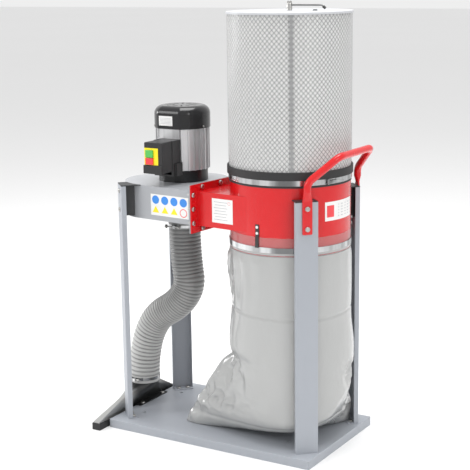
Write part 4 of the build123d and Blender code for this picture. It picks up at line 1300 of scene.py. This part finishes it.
@dataclass
class Plates:
    """The four plates: on the cowl, the fan housing, the duct and the drum."""

    finishes: Finishes
    fan_turn: float = math.radians(-6.0)
    stand_off: float = 0.0002
    cowl_span: tuple[float, float] = (-0.0255, 0.0245)
    cowl_heights: tuple[float, float] = (0.966, 0.996)
    housing_front: float = -0.161
    housing_wide: float = 0.150
    housing_heights: tuple[float, float] = (0.699, 0.765)
    duct_front: float = -0.153
    duct_span: tuple[float, float] = (0.234, 0.311)
    duct_heights: tuple[float, float] = (0.700, 0.773)
    drum_turns: tuple[float, float] = (-28.0, 15.0)
    drum_low: float = 0.719
    drum_tall: float = 0.056

    def flat(self, left: Vector, right: Vector, low: float, high: float
             ) -> tuple[Surface, Outward]:
        """Lays out a flat upright patch.

        Args:
            left: One end of the patch, as seen from outside.
            right: The other end.
            low: Its bottom height.
            high: Its top height.

        Returns:
            The patch's surface and its outward direction.
        """
        run = Vector((right.x - left.x, right.y - left.y, 0.0))
        out = Vector((run.y, -run.x, 0.0)).normalized()

        def surface(u: float, v: float) -> Vector:
            """A point on the patch."""
            return Vector((left.x, left.y, low)) + run * u + Vector((0, 0, high - low)) * v + (
                out * self.stand_off)

        return surface, lambda u: out

    def build(self) -> None:
        """Builds the four plates."""
        self.build_cowl_plate()
        self.build_housing_sheet()
        self.build_duct_plate()
        self.build_drum_plate()

    def fan_point(self, along: float, across: float) -> Vector:
        """Finds a point in the fan's own turned frame.

        Args:
            along: The distance from the fan's axis towards the drum.
            across: The distance towards the back.

        Returns:
            The point, at height 0.
        """
        centre = middle_of("motor_shaft")
        turned = Matrix.Rotation(self.fan_turn, 3, "Z") @ Vector((along, across, 0.0))
        return Vector((centre.x, centre.y, 0.0)) + turned

    def build_cowl_plate(self) -> None:
        """The small rating plate on the cowl's flat."""
        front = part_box("fan_cowl")[0].y
        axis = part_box("motor_shaft")[0].x
        left, right = (Vector((axis + shift, front, 0)) for shift in self.cowl_span)
        surface, out = self.flat(left, right, *self.cowl_heights)
        lines = [Print(Mark.BAR, 0.5, 0.22 + 0.14 * row, 0.8, 0.03, self.finishes.print_grey)
                 for row in range(5)]
        Plate("cowl_plate", surface, out, self.finishes, lines).build()

    def build_housing_sheet(self) -> None:
        """The white sheet on the fan housing: plain blue discs over plain yellow triangles."""
        surface, out = self.flat(self.fan_point(0.0, self.housing_front),
                                 self.fan_point(self.housing_wide, self.housing_front),
                                 *self.housing_heights)
        prints = []
        for column in range(4):
            across = 0.13 + 0.245 * column
            prints.append(Print(Mark.DISC, across, 0.74, 0.19, 0.40, self.finishes.blue))
            if column < 3:
                prints.append(Print(Mark.TRIANGLE, across, 0.24, 0.21, 0.42,
                                    self.finishes.yellow))
            else:
                prints.append(Print(Mark.RING, across, 0.26, 0.19, 0.40,
                                    self.finishes.print_red))
        Plate("housing_sheet", surface, out, self.finishes, prints).build()

    def build_duct_plate(self) -> None:
        """The rating plate on the duct's front."""
        left, right = (self.fan_point(along, self.duct_front) for along in self.duct_span)
        surface, out = self.flat(left, right, *self.duct_heights)
        lines = [Print(Mark.BAR, 0.42, 0.14 + 0.12 * row, 0.66 - 0.12 * (row % 2), 0.022,
                       self.finishes.print_grey) for row in range(7)]
        lines.append(Print(Mark.RING, 0.83, 0.84, 0.13, 0.13, self.finishes.print_red))
        Plate("duct_plate", surface, out, self.finishes, lines).build()

    def build_drum_plate(self) -> None:
        """The long plate wrapped round the drum behind the front leg."""
        centre = middle_of("drum_seal")
        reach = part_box("separator_drum")[1].x - centre.x + self.stand_off
        start, end = (math.radians(degrees) for degrees in self.drum_turns)

        def surface(u: float, v: float) -> Vector:
            """A point on the drum's wall."""
            turn = start + (end - start) * u
            return Vector((centre.x + reach * math.cos(turn), centre.y + reach * math.sin(turn),
                           self.drum_low + self.drum_tall * v))

        def outward(u: float) -> Vector:
            """The direction out of the drum's wall."""
            turn = start + (end - start) * u
            return Vector((math.cos(turn), math.sin(turn), 0.0))

        lines = [Print(Mark.BAR, 0.66, 0.2 + 0.15 * row, 0.56, 0.045, self.finishes.print_grey)
                 for row in range(5)]
        lines.append(Print(Mark.BAR, 0.15, 0.5, 0.2, 0.62, self.finishes.print_red))
        Plate("drum_plate", surface, outward, self.finishes, lines).build()


# ---------------------------------------------------------------- stage
@dataclass(frozen=True)
class Panel:
    """A soft square light that faces the middle of the object."""

    name: str
    place: tuple[float, float, float]
    size: float
    power: float


@dataclass
class Studio:
    """The pale floor, the soft lights and the camera."""

    panels: tuple[Panel, ...] = (
        Panel("key", (-2.6, -2.6, 2.6), 1.5, 34.0),
        Panel("fill", (3.6, -1.6, 2.2), 1.6, 26.0),
        Panel("rim", (-3.2, -0.2, 1.5), 0.7, 24.0),
        Panel("top", (0.2, 0.2, 4.4), 2.6, 150.0))
    aim_height: float = 0.7
    sky: float = 0.86
    floor_size: float = 40.0
    camera_place: Vector = field(default_factory=lambda: Vector((1.936358, -3.206941, 1.431261)))
    turn: float = math.radians(31.247)
    tilt: float = math.radians(90.0 - 12.096)
    roll: float = math.radians(-0.77)
    lens: float = 94.165
    sensor: float = 36.0

    def build(self) -> None:
        """Sets the stage."""
        bpy.context.scene.view_settings.view_transform = "Standard"
        self.build_floor()
        self.build_lights()
        self.build_camera()

    def build_floor(self) -> None:
        """A wide pale floor."""
        mesh = bmesh.new()
        bmesh.ops.create_grid(mesh, x_segments=1, y_segments=1, size=self.floor_size)
        data = bpy.data.meshes.new("studio_floor")
        mesh.to_mesh(data)
        mesh.free()
        graph = Graph("studio_floor")
        tone = graph.noise(0.3, 1.0)
        data.materials.append(graph.finish({
            "Base Color": graph.mix(tone, (0.86, 0.86, 0.86), (0.88, 0.88, 0.88)),
            "Roughness": 0.9}))
        floor = bpy.data.objects.new("studio_floor", data)
        bpy.context.scene.collection.objects.link(floor)

    def build_lights(self) -> None:
        """A bright even sky and four soft panels."""
        world = bpy.data.worlds.new("studio")
        world.use_nodes = True
        background = world.node_tree.nodes["Background"]
        background.inputs["Color"].default_value = (1.0, 1.0, 1.0, 1.0)
        background.inputs["Strength"].default_value = self.sky
        bpy.context.scene.world = world
        for panel in self.panels:
            data = bpy.data.lights.new(panel.name, "AREA")
            data.shape = "SQUARE"
            data.size = panel.size
            data.energy = panel.power
            lamp = bpy.data.objects.new(panel.name, data)
            lamp.location = panel.place
            aim = Vector((0.0, 0.0, self.aim_height)) - Vector(panel.place)
            lamp.rotation_euler = aim.to_track_quat("-Z", "Y").to_euler()
            bpy.context.scene.collection.objects.link(lamp)

    def build_camera(self) -> None:
        """The camera, in front and to the right, looking a little down."""
        data = bpy.data.cameras.new("camera")
        data.lens = self.lens
        data.sensor_width = self.sensor
        camera = bpy.data.objects.new("camera", data)
        facing = (Matrix.Rotation(self.turn, 4, "Z") @ Matrix.Rotation(self.tilt, 4, "X")
                  @ Matrix.Rotation(self.roll, 4, "Z"))
        camera.matrix_world = Matrix.Translation(self.camera_place) @ facing
        bpy.context.scene.collection.objects.link(camera)
        bpy.context.scene.camera = camera


def main() -> None:
    """Dresses the CAD parts, builds the new pieces in order and sets the stage."""
    logging.basicConfig(level=logging.INFO, format="%(name)s: %(message)s")
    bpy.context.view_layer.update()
    finishes = Finishes()
    finishes.dress_nodes()
    Filter(finishes).build()
    Hose(finishes).build()
    Bag(finishes).build()
    SmallFittings(finishes).build()
    Plates(finishes).build()
    Studio().build()


if __name__ == "__main__":
    main()
